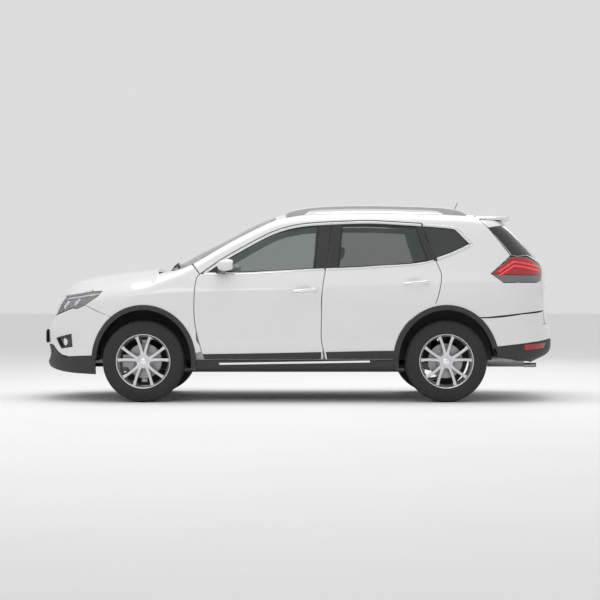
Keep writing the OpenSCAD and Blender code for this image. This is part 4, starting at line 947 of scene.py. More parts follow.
# %% Body side panel
roof_x = np.linspace(-944, 1640, 110)
roof_edge = along(roof_x, top_line)
ring = through([[1126, 1601], [1250, 1592], [1390, 1577], [1440, 1556], [1505, 1490], [1566, 1424], [1571, 1408],
                [1545, 1390],
                [1400, 1321], [1250, 1266]], 6)
lamp_cut = [[1887, 1294], [1803, 1220], [1719, 1147], [1776, 1105], [1834, 1062.3], [2010, 1065], [2150, 1067],
            [2192, 1086]]
shut = offset(rear_edge, GAP)
side_outline = np.vstack([
    roof_edge, [[1640, 1640], [1711, 1566], [1808, 1439], [1903, 1312]], lamp_cut,
    [[2198, 1087], [2218, 950], [2235, 820]],
    [[2228, 819], [1960, 790], [1697, 762], [1575, 757]], arc(REAR_AXLE, ARCH, 56.7, 128, 40),
    arc(REAR_AXLE, (TRIM[0] + 2 * GAP, TRIM[1] + 2 * GAP), 134, 103, 20),
    shut[(shut[:, 1] > 872) & (shut[:, 1] < 1262)],
    ring[::-1], offset(top_rear, -GAP)[::-1], offset(top_front, -GAP)[::-1], [[-882, 1152]]])


def side_depth(u, v):
    return mix(17.5, 38.0, ease(u, -170, -130))


body_side = panel(flank, side_outline, bottom=side_depth, step=12)
pair("body_side_panel", body_side, white, "body", ["body_side_{}"])
quarter_glass = np.array([[1240, 1275], [1165, 1460], [1133, 1572], [1262, 1566], [1390, 1552], [1430, 1532],
                          [1530, 1420],
                          [1528, 1400], [1380, 1330]], float)
shut_high = shut[shut[:, 1] >= 1264]
quarter_black = np.vstack([shut_high[:-1] + [1, 0], offset(ring, 3)])
pair("quarter_window_surround", panel(flank, quarter_black, [quarter_glass], top=1.5, bottom=20, step=10),
     gloss_black, "body")
pair("quarter_window_glass", panel(flank, shrunk(quarter_glass, 0.4), top=8, bottom=12.5, hem=0.8, step=24),
     privacy, "body",
     ["quarter_windows"])
pair("quarter_window_strip", panel(flank, band(ring, 0.5, 24), top=-3.2, bottom=2.0, hem=1.8, step=9), chrome,
     "body")
print("body side", len(body_side[0]), "points")

# %% [markdown]
# ## Wings and nose
# The wings run from the bumper to the doors. The nose is one skin wrapped round an angle, and the bumper, the
# lamps and the grille are cut from it.

# %% Wings
wing_x = np.linspace(-1850, -962, 50)
door_side = offset(front_edge, -GAP)
swing = ease(door_side[:, 1], 530, 545) * (1 - ease(door_side[:, 1], 608,
                                                    622))  # room for the door's front edge as it swings
door_side[:, 0] = np.minimum(door_side[:, 0], mix(door_side[:, 0], -911.0, swing))
wing_outline = np.vstack([
    along(wing_x, top_line), [[-958, 1228], [-889, 1149]], door_side[(door_side[:, 1] < 1146) & (door_side[:,
            1] > 432)][::-1],
    arc(FRONT_AXLE, ARCH, 8, 125.5, 50), [[-1688, 768], [-1912, 865], [-1899, 874], [-1795, 943], [-1757, 994],
                                          [-1853, 991]]])
pair("front_wing", panel(flank, wing_outline, bottom=3.9, hem=2, step=13), white, "body", ["front_wings"])

# %% Nose outlines
headlamp = np.array([[-2252, 764], [-2239, 839], [-2207, 906], [-2147, 946], [-1990, 964], [-1858, 988],
                     [-1764, 992], [-1798, 941],
                     [-1901, 872], [-1996, 836], [-2038, 842]], float)
fog_line = np.array([[-2204, 565], [-2046, 603], [-2036, 494], [-2148, 475]], float)
lamp_low = from_side(-1, np.array([[-1904, 865], [-1996, 831], [-2038, 836], [-2150, 797], [-2246, 760]]))
front_arc = arc(FRONT_AXLE, ARCH, 127.5, 173.5, 30)
grille_edge = from_end(-1, [[372, 757], [352, 700], [334, 638], [170, 637], [0, 637]])
low_x = np.array([-1845, -1950, -2060, -2170.0])
low_side = from_side(-1, np.stack([low_x, [416, 411, 405, 400]], -1))
low_end = from_end(-1, [[690, 402], [600, 418], [530, 452], [480, 494], [430, 507], [200, 508], [0, 508]])
half_bumper = np.vstack([low_end[::-1], low_side[::-1], from_side(-1, front_arc[::-1]),
                         from_side(-1, [[-1700, 773], [-1910, 861]]),
                         lamp_low, grille_edge])
half_bumper = half_bumper[np.concatenate([[True], np.linalg.norm(np.diff(half_bumper, axis=0), axis=1) > 1])]
fog_hole = from_side(-1, fog_line)
fog_holes = [fog_hole, fog_hole * [-1, 1]]
bumper = panel(nose, both_sides(half_bumper), fog_holes, bottom=3.9, hem=2, step=13)
build("front_bumper_skin", bumper, white, "body", ["front_bumper"])

# %% Black lower bumper, intake and fog lamps
foot_rows = [[-2340, 322], [-2305, 305], [-2208, 274], [-2034, 254], [-1806, 246]]
foot_x = np.array([-1815.0, -1900, -2034, -2150, -2230, -2290])
foot_side = from_side(-1, along(foot_x, foot_rows))
foot_end = from_end(-1, [[330, 292], [150, 286], [0, 285]])
arch_low = from_side(-1, arc(FRONT_AXLE, ARCH, 174.5, 186, 8))
half_foot = np.vstack([foot_end[::-1], foot_side[::-1][1:], arch_low[::-1], low_side + [0, -3], low_end + [0, -3]])
build("front_bumper_foot", panel(nose, both_sides(half_foot), top=-2, bottom=5, hem=3, step=13), plastic, "body")
for k, z in enumerate((432, 458, 484)):
    y = np.linspace(-410 + k * 4, 410 - k * 4, 60)
    build(f"intake_bar_{k + 1}", bar_along(-1, y, z, -7.0, oval(5, 5.5, 12, 3)), gloss_black, "body")
skid = both_sides(from_end(-1, [[0, 296], [230, 298], [265, 318], [250, 342], [0, 346]]))
build("front_skid_strip", panel(nose, skid, top=-6, bottom=1, hem=3, step=12), satin, "body")
fog_area = shrunk(fog_hole, 1.5)
fog_middle = fog_area.mean(0)
disc = circle(fog_middle, 34, 40)
fog_ring = panel(nose, inset(fog_area, -6), [inset(fog_area, 9)], top=-3, bottom=16, hem=3, step=9)
both("fog_lamp_base", panel(nose, fog_area, top=16, bottom=22, hem=1, step=12), gloss_black,
     stands_for=["fog_lamps"])
both("fog_lamp_bezel", fog_ring, plastic)
both("fog_lamp_reflector", panel(nose, disc, top=8, bottom=17, hem=3, step=9), chrome)
fog_glass = panel(nose, shrunk(disc, 5), top=domed(fog_middle, 5, 160), bottom=15, hem=1, step=7)
both("fog_lamp_glass", fog_glass, lamp_glass)

# %% [markdown]
# ## Grille, plates and headlamps
# The grille is a plain set of level bars in a bright frame. Behind each clear headlamp cover sit a dark bowl, a
# bright reflector strip, two projectors and an amber marker.

# %% Grille
def grille_half(z):
    """Half width of the grille at height z."""
    return np.interp(z, [640, 985], [330, 440])


grille_loop = from_end(-1, [[-352, 700], [-332, 643], [0, 642], [332, 643], [352, 700], [372, 757], [404, 860],
                            [430, 942], [0, 942], [-430, 942],
                            [-404, 860], [-372, 757]])
build("grille_back", panel(nose, grille_loop, top=24, bottom=28, hem=1, step=24), gloss_black, "body", ["grille"])
for k, z in enumerate(np.arange(672, 930, 33)):
    half = float(grille_half(z)) - 8
    y = np.linspace(-half, half, 70)
    build(f"grille_bar_{k + 1}", bar_along(-1, y, z, 11.0, oval(9, 5.5, 14, 3)), gloss_black, "body")
    if k % 3 == 1:
        build(f"grille_bar_bright_{k + 1}", bar_along(-1, y, z, 2.2, oval(2.4, 2.4, 10, 3)), chrome, "body")
frame_line = resampled(wound(grille_loop, 1), 12)
build("grille_frame", swept(nose(frame_line[:, 0], frame_line[:, 1], 3.5), oval(7, 6, 14, 2.6), up=(-1, 0, 0.001),
                            closed=True), chrome, "body")


def plate_sheet(x0, low, high, sign):
    """A flat plate bowed 6 mm to follow the bumper."""
    half = 260
    u, v = np.meshgrid(np.linspace(-half, half, 30), np.linspace(low, high, 10), indexing="ij")
    x = x0 - sign * 6 * (u / half) ** 2
    outer = np.stack([x, u, v], -1)
    return shell(outer, outer - [sign * 3.5, 0, 0])


build("front_plate", plate_sheet(-2349, 522, 632, -1), plate, "body")
build("front_plate_holder", pebble((-2341, 0, 577), (5, 268, 63), (6, 8), 20), plastic, "body")

# %% Headlamps
def beside_grille(loop, gap):
    """Keeps a headlamp outline clear of the grille's slanting side."""
    edge = from_end(-1, np.stack([grille_half(loop[:, 1]) + gap, loop[:, 1]], -1))[:, 0]
    return np.stack([np.maximum(loop[:, 0], edge), loop[:, 1]], -1)


lamp_flat = beside_grille(resampled(wound(from_side(-1, headlamp), 1), 8), 12)
lamp_in = inset(lamp_flat, 1.5)
x = np.linspace(-2130, -1864, 16)
lamp_top = along(x, [[-2147, 948], [-1990, 966], [-1858, 990]]) + [0, 1]
wing_line = np.stack([x, np.maximum(at(x, top_line) - 5, lamp_top[:, 1] + 1.5)], -1)
over_lamp = panel(nose, from_side(-1, np.vstack([lamp_top, wing_line[::-1]])), bottom=8, hem=2, step=8)
upper_edge = from_end(-1, [[-400, 946], [-200, 946], [0, 946], [200, 946], [400, 946], [330, 960], [180, 972],
                           [0, 977], [-180, 972], [-330, 960]])
build("grille_top_panel", panel(nose, upper_edge, top=2, bottom=10, hem=3, step=10), white, "body")
bowl = panel(nose, lamp_in, top=34, bottom=40, hem=1, step=16)
cover = panel(nose, lamp_in, top=1.5, bottom=4.5, hem=2, step=12)
rim = panel(nose, lamp_in, [inset(lamp_in, 7)], top=5.0, bottom=34, hem=2, step=10)
upper = from_side(-1, through([[-2196, 896], [-2130, 930], [-1990, 948], [-1860, 968], [-1800, 974]], 6))
strip = panel(nose, band(upper, 0, 16), top=16, bottom=22, hem=2, step=8)
inner_line = beside_grille(from_side(-1, through([[-2232, 800], [-2222, 850], [-2196, 892]], 6)), 22)
leg = panel(nose, band(inner_line, -16, 0), top=16, bottom=22, hem=2, step=8)
marker = from_side(-1, [[-1880, 940], [-1800, 962], [-1790, 975], [-1870, 955]])
both("headlamp_bowl", bowl, gloss_black, stands_for=["headlamps"])
both("headlamp_rim", rim, gloss_black)
both("headlamp_strip", join(strip, leg), chrome)
both("headlamp_marker", panel(nose, marker, top=14, bottom=22, hem=2, step=8), amber)
for k, (x, z, r) in enumerate(((-2130, 868, 33), (-2010, 893, 29))):
    spot = from_side(-1, [[x, z]])[0]
    loop = circle(spot, r, 48)
    ring_mesh = panel(nose, loop, [loop * 0.82 + spot * 0.18], top=12, bottom=34, hem=2, step=8)
    dome = panel(nose, spot + (loop - spot) * 0.8, top=domed(spot, 17, 60), bottom=33, hem=1, step=6)
    both(f"headlamp_ring_{k + 1}", ring_mesh, chrome)
    both(f"headlamp_projector_{k + 1}", dome, lamp_glass)
both("headlamp_cover", cover, lens)
both("headlamp_top_strip", over_lamp, white)
print("nose done")

# %% [markdown]
# ## Roof, screen and bonnet
# The roof is crowned both ways and meets the side panels in a ditch. The laminated screen has a black printed
# border. The bonnet is a pressing with two long creases, hinged at its rear corners.

# %% Roof and windscreen
def grid(nu, nv, u0=0.0, u1=1.0, v0=-1.0, v1=1.0):
    return np.meshgrid(np.linspace(u0, u1, nu), np.linspace(v0, v1, nv), indexing="ij")


def roof_spot(s, v, t):
    x = mix(-217 + 57 * (1 - v * v), 1615.0, s)
    edge = at(x, top_line)
    ditch = 3 * np.exp(-(((np.abs(v) - 0.8) / 0.03) ** 2)) * ease(s, 0.02, 0.1)
    return np.stack([x, v * (half_width(x, edge) - 39.4), mix(edge - 3, at(x, roof_line), 1 - np.abs(v) ** 2.4) - t
                     - ditch], -1)


s, v = grid(90, 91)
build("roof_skin", shell(roof_spot(s, v, 0), roof_spot(s, v, 16)), white, "body", ["roof_panel"])
s, v = grid(40, 41, 0.02, 0.98, -0.97, 0.97)
build("roof_lining", shell(roof_spot(s, v, 19), roof_spot(s, v, 23.5)), lining, "body")
screen_centre = [[0, -1195], [0.25, -930], [0.52, -635], [0.73, -418], [1, -178]]
screen_centre_z = [[0, 1196], [0.25, 1346], [0.52, 1494], [0.73, 1612], [1, 1703]]
screen_edge = [[0, -1090], [0.25, -860], [0.52, -610], [0.73, -400], [1, -234]]


def screen_spot(s, v, t):
    edge_x = at(s, screen_edge)
    edge_z = at(edge_x, top_line)
    bow = 1 - v * v
    return np.stack([mix(edge_x, at(s, screen_centre), bow) + t, v * (half_width(edge_x, edge_z) - 18.4),
                     mix(edge_z, at(s, screen_centre_z), bow) - t], -1)


s, v = grid(60, 61)
build("windscreen_glass", shell(screen_spot(s, v, 0), screen_spot(s, v, 5)), screen, "body", ["windscreen"])
for name, (u0, u1, v0, v1) in {"top": (0.93, 0.995, -0.99, 0.99), "foot": (0.005, 0.09, -0.99, 0.99),
                               "left": (0.09, 0.93, -0.99, -0.955),
                               "right": (0.09, 0.93, 0.955, 0.99)}.items():
    s, v = grid(30, 30, u0, u1, v0, v1)
    build(f"windscreen_border_{name}", shell(screen_spot(s, v, 5.3), screen_spot(s, v, 6.8)), seal, "body")
s = np.linspace(0.0, 1.0, 50)
for k, (v0, v1, s0) in enumerate(((-0.82, -0.06, 0.045), (-0.02, 0.70, 0.040))):
    blade = screen_spot(np.full(50, s0) + 0.03 * np.sin(np.pi * s), mix(v0, v1, s), -9)
    build(f"wiper_blade_{k + 1}", swept(blade, oval(5, 8, 12, 3)), seal, "body")
    root = screen_spot(np.array(-0.035), np.array(mix(v0, v1, 0.98)), 6)
    arm = mix(root, blade[24] + [0, 0, 7], s[:20, None] / s[19])
    arm[:, 2] += 9 * np.sin(np.pi * s[:20] / s[19])
    build(f"wiper_arm_{k + 1}", swept(arm, oval(9, 4, 14, 3)), gloss_black, "body")

# %% Bonnet
def bonnet_spot(s, v, t):
    x = mix(-2203, mix(-1300.0, -1250.0, v * v), s ** 1.6)
    edge = at(x, top_line)
    crease = 5 * np.exp(-(((np.abs(v) - mix(0.50, 0.70, s)) / 0.06) ** 2)) * ease(s, 0.03, 0.4)
    thick = t * (6 + 20 * np.minimum(1, s * 5) * (1 - np.abs(v) ** 6))
    return np.stack([x + t * (1 - s) ** 8, v * (half_width(x, edge) - 10),
                     mix(edge, at(x, bonnet_line), 1 - np.abs(v) ** 2.4) + crease - thick], -1)


s, v = grid(100, 101)
build("bonnet_skin", shell(bonnet_spot(s, v, 0), bonnet_spot(s, v, 1)), white, "bonnet", ["bonnet"])
pair("bonnet_hinge_arm", pebble((-1270, -718, 1108), (12, 13.5, 21), (4, 4), 16), steel, "bonnet")
print("roof, screen and bonnet done")

# %% [markdown]
# ## Roof rails, spoiler and arch trims
# Each rail is an aluminium bar on two feet. The spoiler rides on the tailgate and carries the high brake light.
# Textured trims ring the wheel openings and stand 8 mm proud.

# %% Rails, spoiler and trims
rail_top = [[-112, 1700], [-66, 1722], [85, 1751], [259, 1765], [561, 1772], [925, 1767], [1289, 1753],
            [1426, 1735], [1527, 1694]]
x = np.linspace(-110, 1525, 120)
foot = at(x, top_line) + 0.4
crest = np.maximum(at(x, rail_top), foot + 5)
clear = ease(x, 40, 110) * (1 - ease(x, 1250, 1330))  # 1 where the rail stands free between its feet
under = np.where((x > 40) & (x < 1330), np.minimum(np.maximum(foot, mix(foot, crest - 30, clear)), crest - 5), foot)
rings = oval(1, 1, 20, 4)[None] * np.stack([np.full(len(x), 14.0), (crest - under) / 2], -1)[:, None]
middle = np.stack([x, -(half_width(x, at(x, top_line)) - 20), (crest + under) / 2], -1)[:, None]
sections = middle + np.stack([0 * rings[..., 0], rings[..., 0], rings[..., 1]], -1)
pair("roof_rail", tube(sections), satin, "body", ["roof_rails"])

s, v = grid(50, 81)
bow = 1 - np.abs(v) ** 3
x = mix(1629, mix(1880.0, 1980.0, bow), s)
y = v * mix(568.0, 545.0, s)
top_z = mix(mix(1655.0, 1703.0, bow), mix(1668.0, 1692.0, bow), s)
low_z = np.minimum(mix(top_z - 3.6, 1641.0, ease(s, 0.26, 0.34)) + 14 * ease(s, 0.9, 1.0), top_z - 3.6)
build("spoiler_skin", shell(np.stack([x, y, top_z], -1), np.stack([x, y, low_z], -1)), white, "tailgate",
      ["spoiler"])
y = np.linspace(-150, 150, 30)
bar = np.stack([mix(1880.0, 1980.0, 1 - np.abs(y / 545) ** 3) - 3, y, np.full(30, 1672.0)], -1)
build("high_brake_light", swept(bar, oval(4, 8, 12, 4)), red_bar, "tailgate")
for name, axle, a0, a1 in (("front", FRONT_AXLE, 177, -8), ("rear", REAR_AXLE, 188, 14)):
    ring_line = np.vstack([arc(axle, (ARCH[0] - 12, ARCH[1] - 12), a0, a1, 70), arc(axle, TRIM, a1, a0, 70)])

    def back(u, v, axle=axle):
        return np.where(((u - axle) / (ARCH[0] - 1)) ** 2 + ((v - WHEEL_R) / (ARCH[1] - 1)) ** 2 < 1, 14.0, -0.6)

    pair(f"{name}_arch_trim", panel(flank, ring_line, top=-7.9, bottom=back, hem=5, step=9), plastic, "body",
         ["lower_cladding"] if name == "front" else [])
sill_shape = np.array([[-911, 274], [870, 274], [874, 330], [872, 376], [-911, 376]], float)
pair("sill_cover", panel(flank, sill_shape, top=lambda u, v: 26 * (1 - ease(v, 272, 318)) ** 2 - 1, bottom=46,
                         hem=4, step=13), plastic, "body", ["sills"])
strip_line = through([[-706, 343], [0, 354], [550, 363], [640, 364]], 10)
pair("sill_bright_strip", panel(flank, band(strip_line, -10, 10), top=-4.5, bottom=2, hem=3, step=10), chrome,
     "body")
print("trims done")

# %% [markdown]
# ## Tail
# The tailgate, the lamps and the bumper are cut from one skin wrapped round the tail, as at the nose.

# %% Tailgate
tail_side = [[2250, 702], [2236, 820], [2226, 930], [2204, 1087], [2216, 1157], [2200, 1240], [2060, 1316],
             [1966, 1302], [1913, 1314],
             [1812, 1442], [1717, 1566], [1648, 1636]]
side_loop = from_side(1, tail_side)
gate_half = np.vstack([from_end(1, [[0, 702], [250, 702], [500, 702]]), side_loop,
                       from_end(1, [[480, 1636], [240, 1638], [0, 1639]])])
window = [[-586, 1292], [-300, 1290], [0, 1290], [300, 1290], [586, 1292], [565, 1430], [538, 1558], [490, 1588],
          [0, 1590], [-490, 1588],
          [-538, 1558], [-565, 1430]]
window_flat = from_end(1, window)
gate = panel(tail, both_sides(gate_half), [window_flat], bottom=40, hem=2.4, step=15)
build("tailgate_skin", gate, [white, cabin], "tailgate", ["tailgate"], paints=[0, 1, 0])
window_in = shrunk(window_flat, 0.5)
build("tailgate_window", panel(tail, window_in, top=10, bottom=14.5, hem=0.8, step=26), privacy, "tailgate",
      ["tailgate_glass"])
pillar_patch = from_side(1, [[1712, 1568], [1800, 1583], [1856, 1590], [2000, 1452], [2130, 1300], [2062, 1321],
                             [1966, 1306], [1916, 1316],
                                      [1815, 1444]])
pillar_mesh = panel(tail, pillar_patch, top=-1.6, bottom=1, hem=1.5, step=12)
both("tailgate_pillar", pillar_mesh, gloss_black, "tailgate")
plate_loop = from_end(1, [[-262, 862], [0, 862], [262, 862], [262, 974], [0, 974], [-262, 974]])
build("rear_plate", panel(tail, plate_loop, top=-6, bottom=-2.4, hem=1, step=16), plate, "tailgate")
recess = from_end(1, [[-300, 835], [0, 835], [300, 835], [310, 1010], [0, 1012], [-310, 1010]])
build("rear_plate_surround", panel(tail, recess, top=-2, bottom=2, hem=3, step=16), plastic, "tailgate")
handle_bar = bar_along(1, np.linspace(-330, 330, 60), 1026.0, -5.0, oval(7, 13, 16, 3))
build("tailgate_handle_bar", handle_bar, chrome, "tailgate")
y = np.linspace(-40, 300, 40)
wiper_z = 1300 + 40 * np.sin((y + 40) / 340 * 1.4)
build("rear_wiper", bar_along(1, y, wiper_z, 3.5, oval(4, 7, 12, 3)), seal, "tailgate")
wiper_root = from_end(1, [[-40, 1262]])[0]
build("rear_wiper_cap", moved(pebble((0, 0, 0), (14, 24, 20), (3, 3), 16),
                              tail(wiper_root[:1], wiper_root[1:], -6.0)[0]), gloss_black, "tailgate")

# %% Tail lamps
lamp_side = [[1722, 1147], [1887, 1292], [1912, 1301], [2056, 1304], [2193, 1233], [2208, 1157], [2191, 1089],
             [2150, 1070], [1836, 1065]]
lamp_loop = shrunk(from_side(1, lamp_side), 1.0)
whole = panel(tail, lamp_loop, top=1.0, bottom=30, hem=3, step=10)
red_part = [[1735, 1146], [1889, 1288], [1913, 1297], [2055, 1299], [2189, 1230], [2203, 1157], [2199, 1141],
            [1960, 1139]]
low_part = [[1731, 1139], [1950, 1133], [2197, 1134], [2187, 1092], [2149, 1074], [1838, 1069]]
bar_side = [[1800, 1160], [1915, 1236], [1960, 1246], [2140, 1216], [2188, 1198]]
bars = [
    panel(tail, band(from_side(1, through(np.array(bar_side) + [0.0, dz], 8)), 0, 13), top=-4.5, bottom=0, hem=2,
          step=8)
    for dz in (0, -36)]
both("tail_lamp_body", whole, smoke_lens, stands_for=["tail_lamps"])
both("tail_lamp_red", panel(tail, from_side(1, red_part), top=-2.2, bottom=1.5, hem=2, step=9), red_lens)
both("tail_lamp_bars", join(*bars), red_bar)
both("tail_lamp_low", panel(tail, from_side(1, low_part), top=-1.5, bottom=1.5, hem=2, step=9), lens)

# %% Rear bumper
bumper_top = from_end(1, [[0, 692], [330, 692], [640, 692]])
seam = from_side(1, [[2236, 695], [2232, 806], [2000, 783], [1697, 749], [1570, 748]])
arch_rear = from_side(1, arc(REAR_AXLE, (ARCH[0] + 1, ARCH[1] + 1), 55, 17, 26))
low_line = from_side(1, [[1752, 498], [1900, 512], [2080, 532], [2262, 556]])
low_end = from_end(1, [[500, 560], [250, 560], [0, 560]])
half = np.vstack([bumper_top, seam, arch_rear, low_line, low_end])
build("rear_bumper_skin", panel(tail, both_sides(half), bottom=3.9, hem=2.2, step=14), white, "body",
      ["rear_bumper"])
foot_side = from_side(1, [[2120, 352], [1960, 366], [1812, 396]])
foot_up = from_side(1, [[1772, 420], [1757, 470], [1754, 494]])
foot_half = np.vstack([low_end[::-1] + [0, -3], low_line[::-1] + [0, -3], foot_up[::-1], foot_side[::-1],
                       from_end(1, [[430, 340], [200, 338], [0, 338]])])
build("rear_bumper_foot", panel(tail, both_sides(foot_half), top=-1, bottom=5, hem=3, step=14), plastic, "body")
skid = both_sides(from_end(1, [[0, 372], [300, 376], [340, 392], [330, 436], [0, 440]]))
build("rear_skid_strip", panel(tail, skid, top=-4, bottom=1, hem=3, step=12), satin, "body")
reflector = panel(tail, from_side(1, [[2018, 512], [2236, 527], [2214, 481], [2020, 466]]), top=-4, bottom=2, hem=2,
                  step=9)
both("rear_reflector", reflector, red_lens)
print("tail done")

# %% [markdown]
# ## Wheels and tyres
# A cast rim is turned on a lathe and has ten spokes in five pairs. The tyre is one turned section, with four
# grooves round the tread and short cross grooves in its shoulders. Each wheel rides on its own spinning body.

# %% Wheel parts
def at_angle(r, a, y):
    a = np.radians(a)
    return np.stack([r * np.cos(a), y + 0 * a, r * np.sin(a)], -1)


rim = lathe([(239, 106), (246, 105), (247, 98), (241, 92), (233, 84), (226, 60), (222, 10), (224, -50), (230, -86),
             (241, -98), (247, -101),
             (246, -106), (238, -106), (226, -94), (215, -60), (212, 0), (216, 52), (222, 78), (229, 98)], 160)
r = np.linspace(50, 226, 26)
s = (r - 50) / 176
spokes = []
for k in range(5):
    for sign in (-1, 1):
        path = at_angle(r, 90 + 72 * k + sign * mix(9.0, 15.5, s),
                        mix(70.0, 84.0, s ** 0.8) + 5 * np.sin(np.pi * s))
        half = np.stack([mix(15.0, 12.5, s) + 5 * np.abs(2 * s - 1) ** 4, mix(15.0, 10.0, s)], -1)
        spokes.append(swept(path, oval(1, 1, 20, 3.2)[None] * half[:, None], up=(0, 1, 0)))
hub = lathe([(0.5, 84), (30, 84), (40, 80), (62, 82), (70, 74), (72, 60), (66, 46), (0.5, 46)], 80)
cap = lathe([(0.5, 95), (20, 93.5), (27, 89), (28, 82), (0.5, 82)], 64)
nuts = [moved(lathe([(0.5, 92), (7, 91), (9, 87), (9, 76), (0.5, 76)], 6), at_angle(46.0, 54.0 + 72 * k, 0.0))
        for k in range(5)]
disc = join(lathe([(72, -14), (155, -14), (155, -22), (72, -22)], 120),
            lathe([(72, -30), (155, -30), (155, -38), (72, -38)], 120),
            lathe([(60, -8), (84, -10), (90, -16), (90, -40), (60, -40)], 90))
print("wheel spokes", len(spokes))

# %% Tyre
shape = [(228, 96), (232, 101), (240, 105), (255, 109.5), (275, 112), (300, 112.3), (302, 111.2), (318, 111.2),
         (320, 109.8), (340, 104),
         (353, 96), (360, 88), (363, 78)]
tread = []
for y0 in (52, 18):
    tread += [(365, y0 + 10), (365.3, y0 + 5), (357, y0 + 3.6), (357, y0 - 3.6), (365.6, y0 - 5)]
half_section = np.array(shape + tread + [(366, 3)], float)
low = half_section[::-1] * [1, -1]
inside = np.array([(230, -88), (236, -92), (250, -98), (330, -99), (348, -84), (354, 0), (348, 84), (330, 99),
                   (250, 98), (236, 92), (230, 88)], float)
section_line = np.vstack([half_section, low, inside])
TURNS = 288  # steps round the tyre: one cross groove every six
tyre_points, tyre_faces = lathe(section_line, TURNS)
rings = tyre_points.reshape(TURNS, -1, 3)
radius = np.hypot(rings[..., 0], rings[..., 2])
shoulder = (np.abs(rings[..., 1]) > 66) & (np.abs(rings[..., 1]) < 108) & (radius > 349.5)
inner_block = (np.abs(rings[..., 1]) < 60) & (np.abs(rings[..., 1]) > 23) & (radius > 364)
notch = (np.arange(TURNS) % 6 < 1)[:, None]
cut = 1 - (shoulder * notch * 6.5 + inner_block * np.roll(notch, 3, 0) * 5.0) / radius
rings[..., 0] *= cut
rings[..., 2] *= cut
tyre = (rings.reshape(-1, 3), tyre_faces)
for end, axle in (("front", FRONT_AXLE), ("rear", REAR_AXLE)):
    for side, flip, sign in (("right", lambda m: m, 1), ("left", mirrored, -1)):
        place = (axle, sign * TRACK_Y, WHEEL_R)
        body = f"wheel_{end}_{side}"

        def put(name, mesh, finish, stands_for=(), crisp=40):
            build(f"{name}_{end}_{side}", moved(flip(mesh), place), finish, body, stands_for, crisp=crisp)

        put("rim", rim, alloy, [body])
        put("spokes", join(*spokes, hub), alloy)
        put("hub_cap", cap, chrome)
        put("wheel_nuts", join(*nuts), chrome, crisp=25)
        put("brake_disc", disc, iron)
        put("tyre_tread", tyre, rubber, [f"tyre_{end}_{side}"], 30)
print("tyre", len(tyre[0]), "points")

# %% [markdown]
# ## Cabin
# Each seat is a foam cushion and back under a sewn cover. The covers are blown up a little as cloth, so they crown
# between their seams; the headrests stand on plated rods.

# %% Seats
def cushion_mesh(profile, width, y0, n=22):
    """A padded block: a side profile carried across the seat, drawn in towards both ends."""
    line = resampled(wound(np.array(profile, float), 1), 24)
    middle = line.mean(0)
    w = np.linspace(-1, 1, n)
    shrink = 1 - 0.16 * np.abs(w) ** 6
    rings = middle + (line[None] - middle) * shrink[:, None, None]
    y = y0 + w * width / 2
    points = np.stack([rings[..., 0], np.broadcast_to(y[:, None], rings.shape[:2]), rings[..., 1]], -1)
    ends = np.array([[middle[0], y[0], middle[1]], [middle[0], y[-1], middle[1]]])
    return tube(points, ends=ends)


PRESSURE, FRAMES = 4.0, 20  # of the cloth that blows each cover up
SEAT_Y = 370  # from the centre line to the middle of a front seat


def padded_piece(name, mesh, stands_for, most=24.0, voxel=12.0):
    """Blows a cover up as cloth for twenty frames, holds every point within the cap, and applies the result."""
    piece = build(name, mesh, fabric, "body", stands_for, weld=True)
    remesh = piece.modifiers.new("remesh", "REMESH")
    remesh.mode, remesh.voxel_size = "VOXEL", voxel * MM
    bpy.context.view_layer.objects.active = piece
    bpy.ops.object.select_all(action="DESELECT")
    piece.select_set(True)
    bpy.ops.object.modifier_apply(modifier="remesh")
    start = np.empty(len(piece.data.vertices) * 3, np.float32)
    piece.data.vertices.foreach_get("co", start)
    cloth = piece.modifiers.new("cloth", "CLOTH")
    cloth.settings.use_pressure, cloth.settings.uniform_pressure_force = True, PRESSURE
    cloth.settings.effector_weights.gravity = 0
    cloth.settings.quality = 4
    scene = bpy.context.scene
    for frame_number in range(1, FRAMES + 1):
        scene.frame_set(frame_number)
    shaped = piece.evaluated_get(bpy.context.evaluated_depsgraph_get()).data
    end = np.empty(len(shaped.vertices) * 3, np.float32)
    shaped.vertices.foreach_get("co", end)
    piece.modifiers.remove(cloth)
    scene.frame_set(1)
    start, move = start.reshape(-1, 3), (end - start).reshape(-1, 3)
    size = np.linalg.norm(move, axis=1, keepdims=True)
    move *= np.minimum(1, most * MM / np.maximum(size, 1e-9))
    piece.data.vertices.foreach_set("co", (start + move).ravel())
    piece.data.update()
    piece.data.shade_smooth()
    level = piece.modifiers.new("smooth", "SUBSURF")
    level.levels = level.render_levels = 1


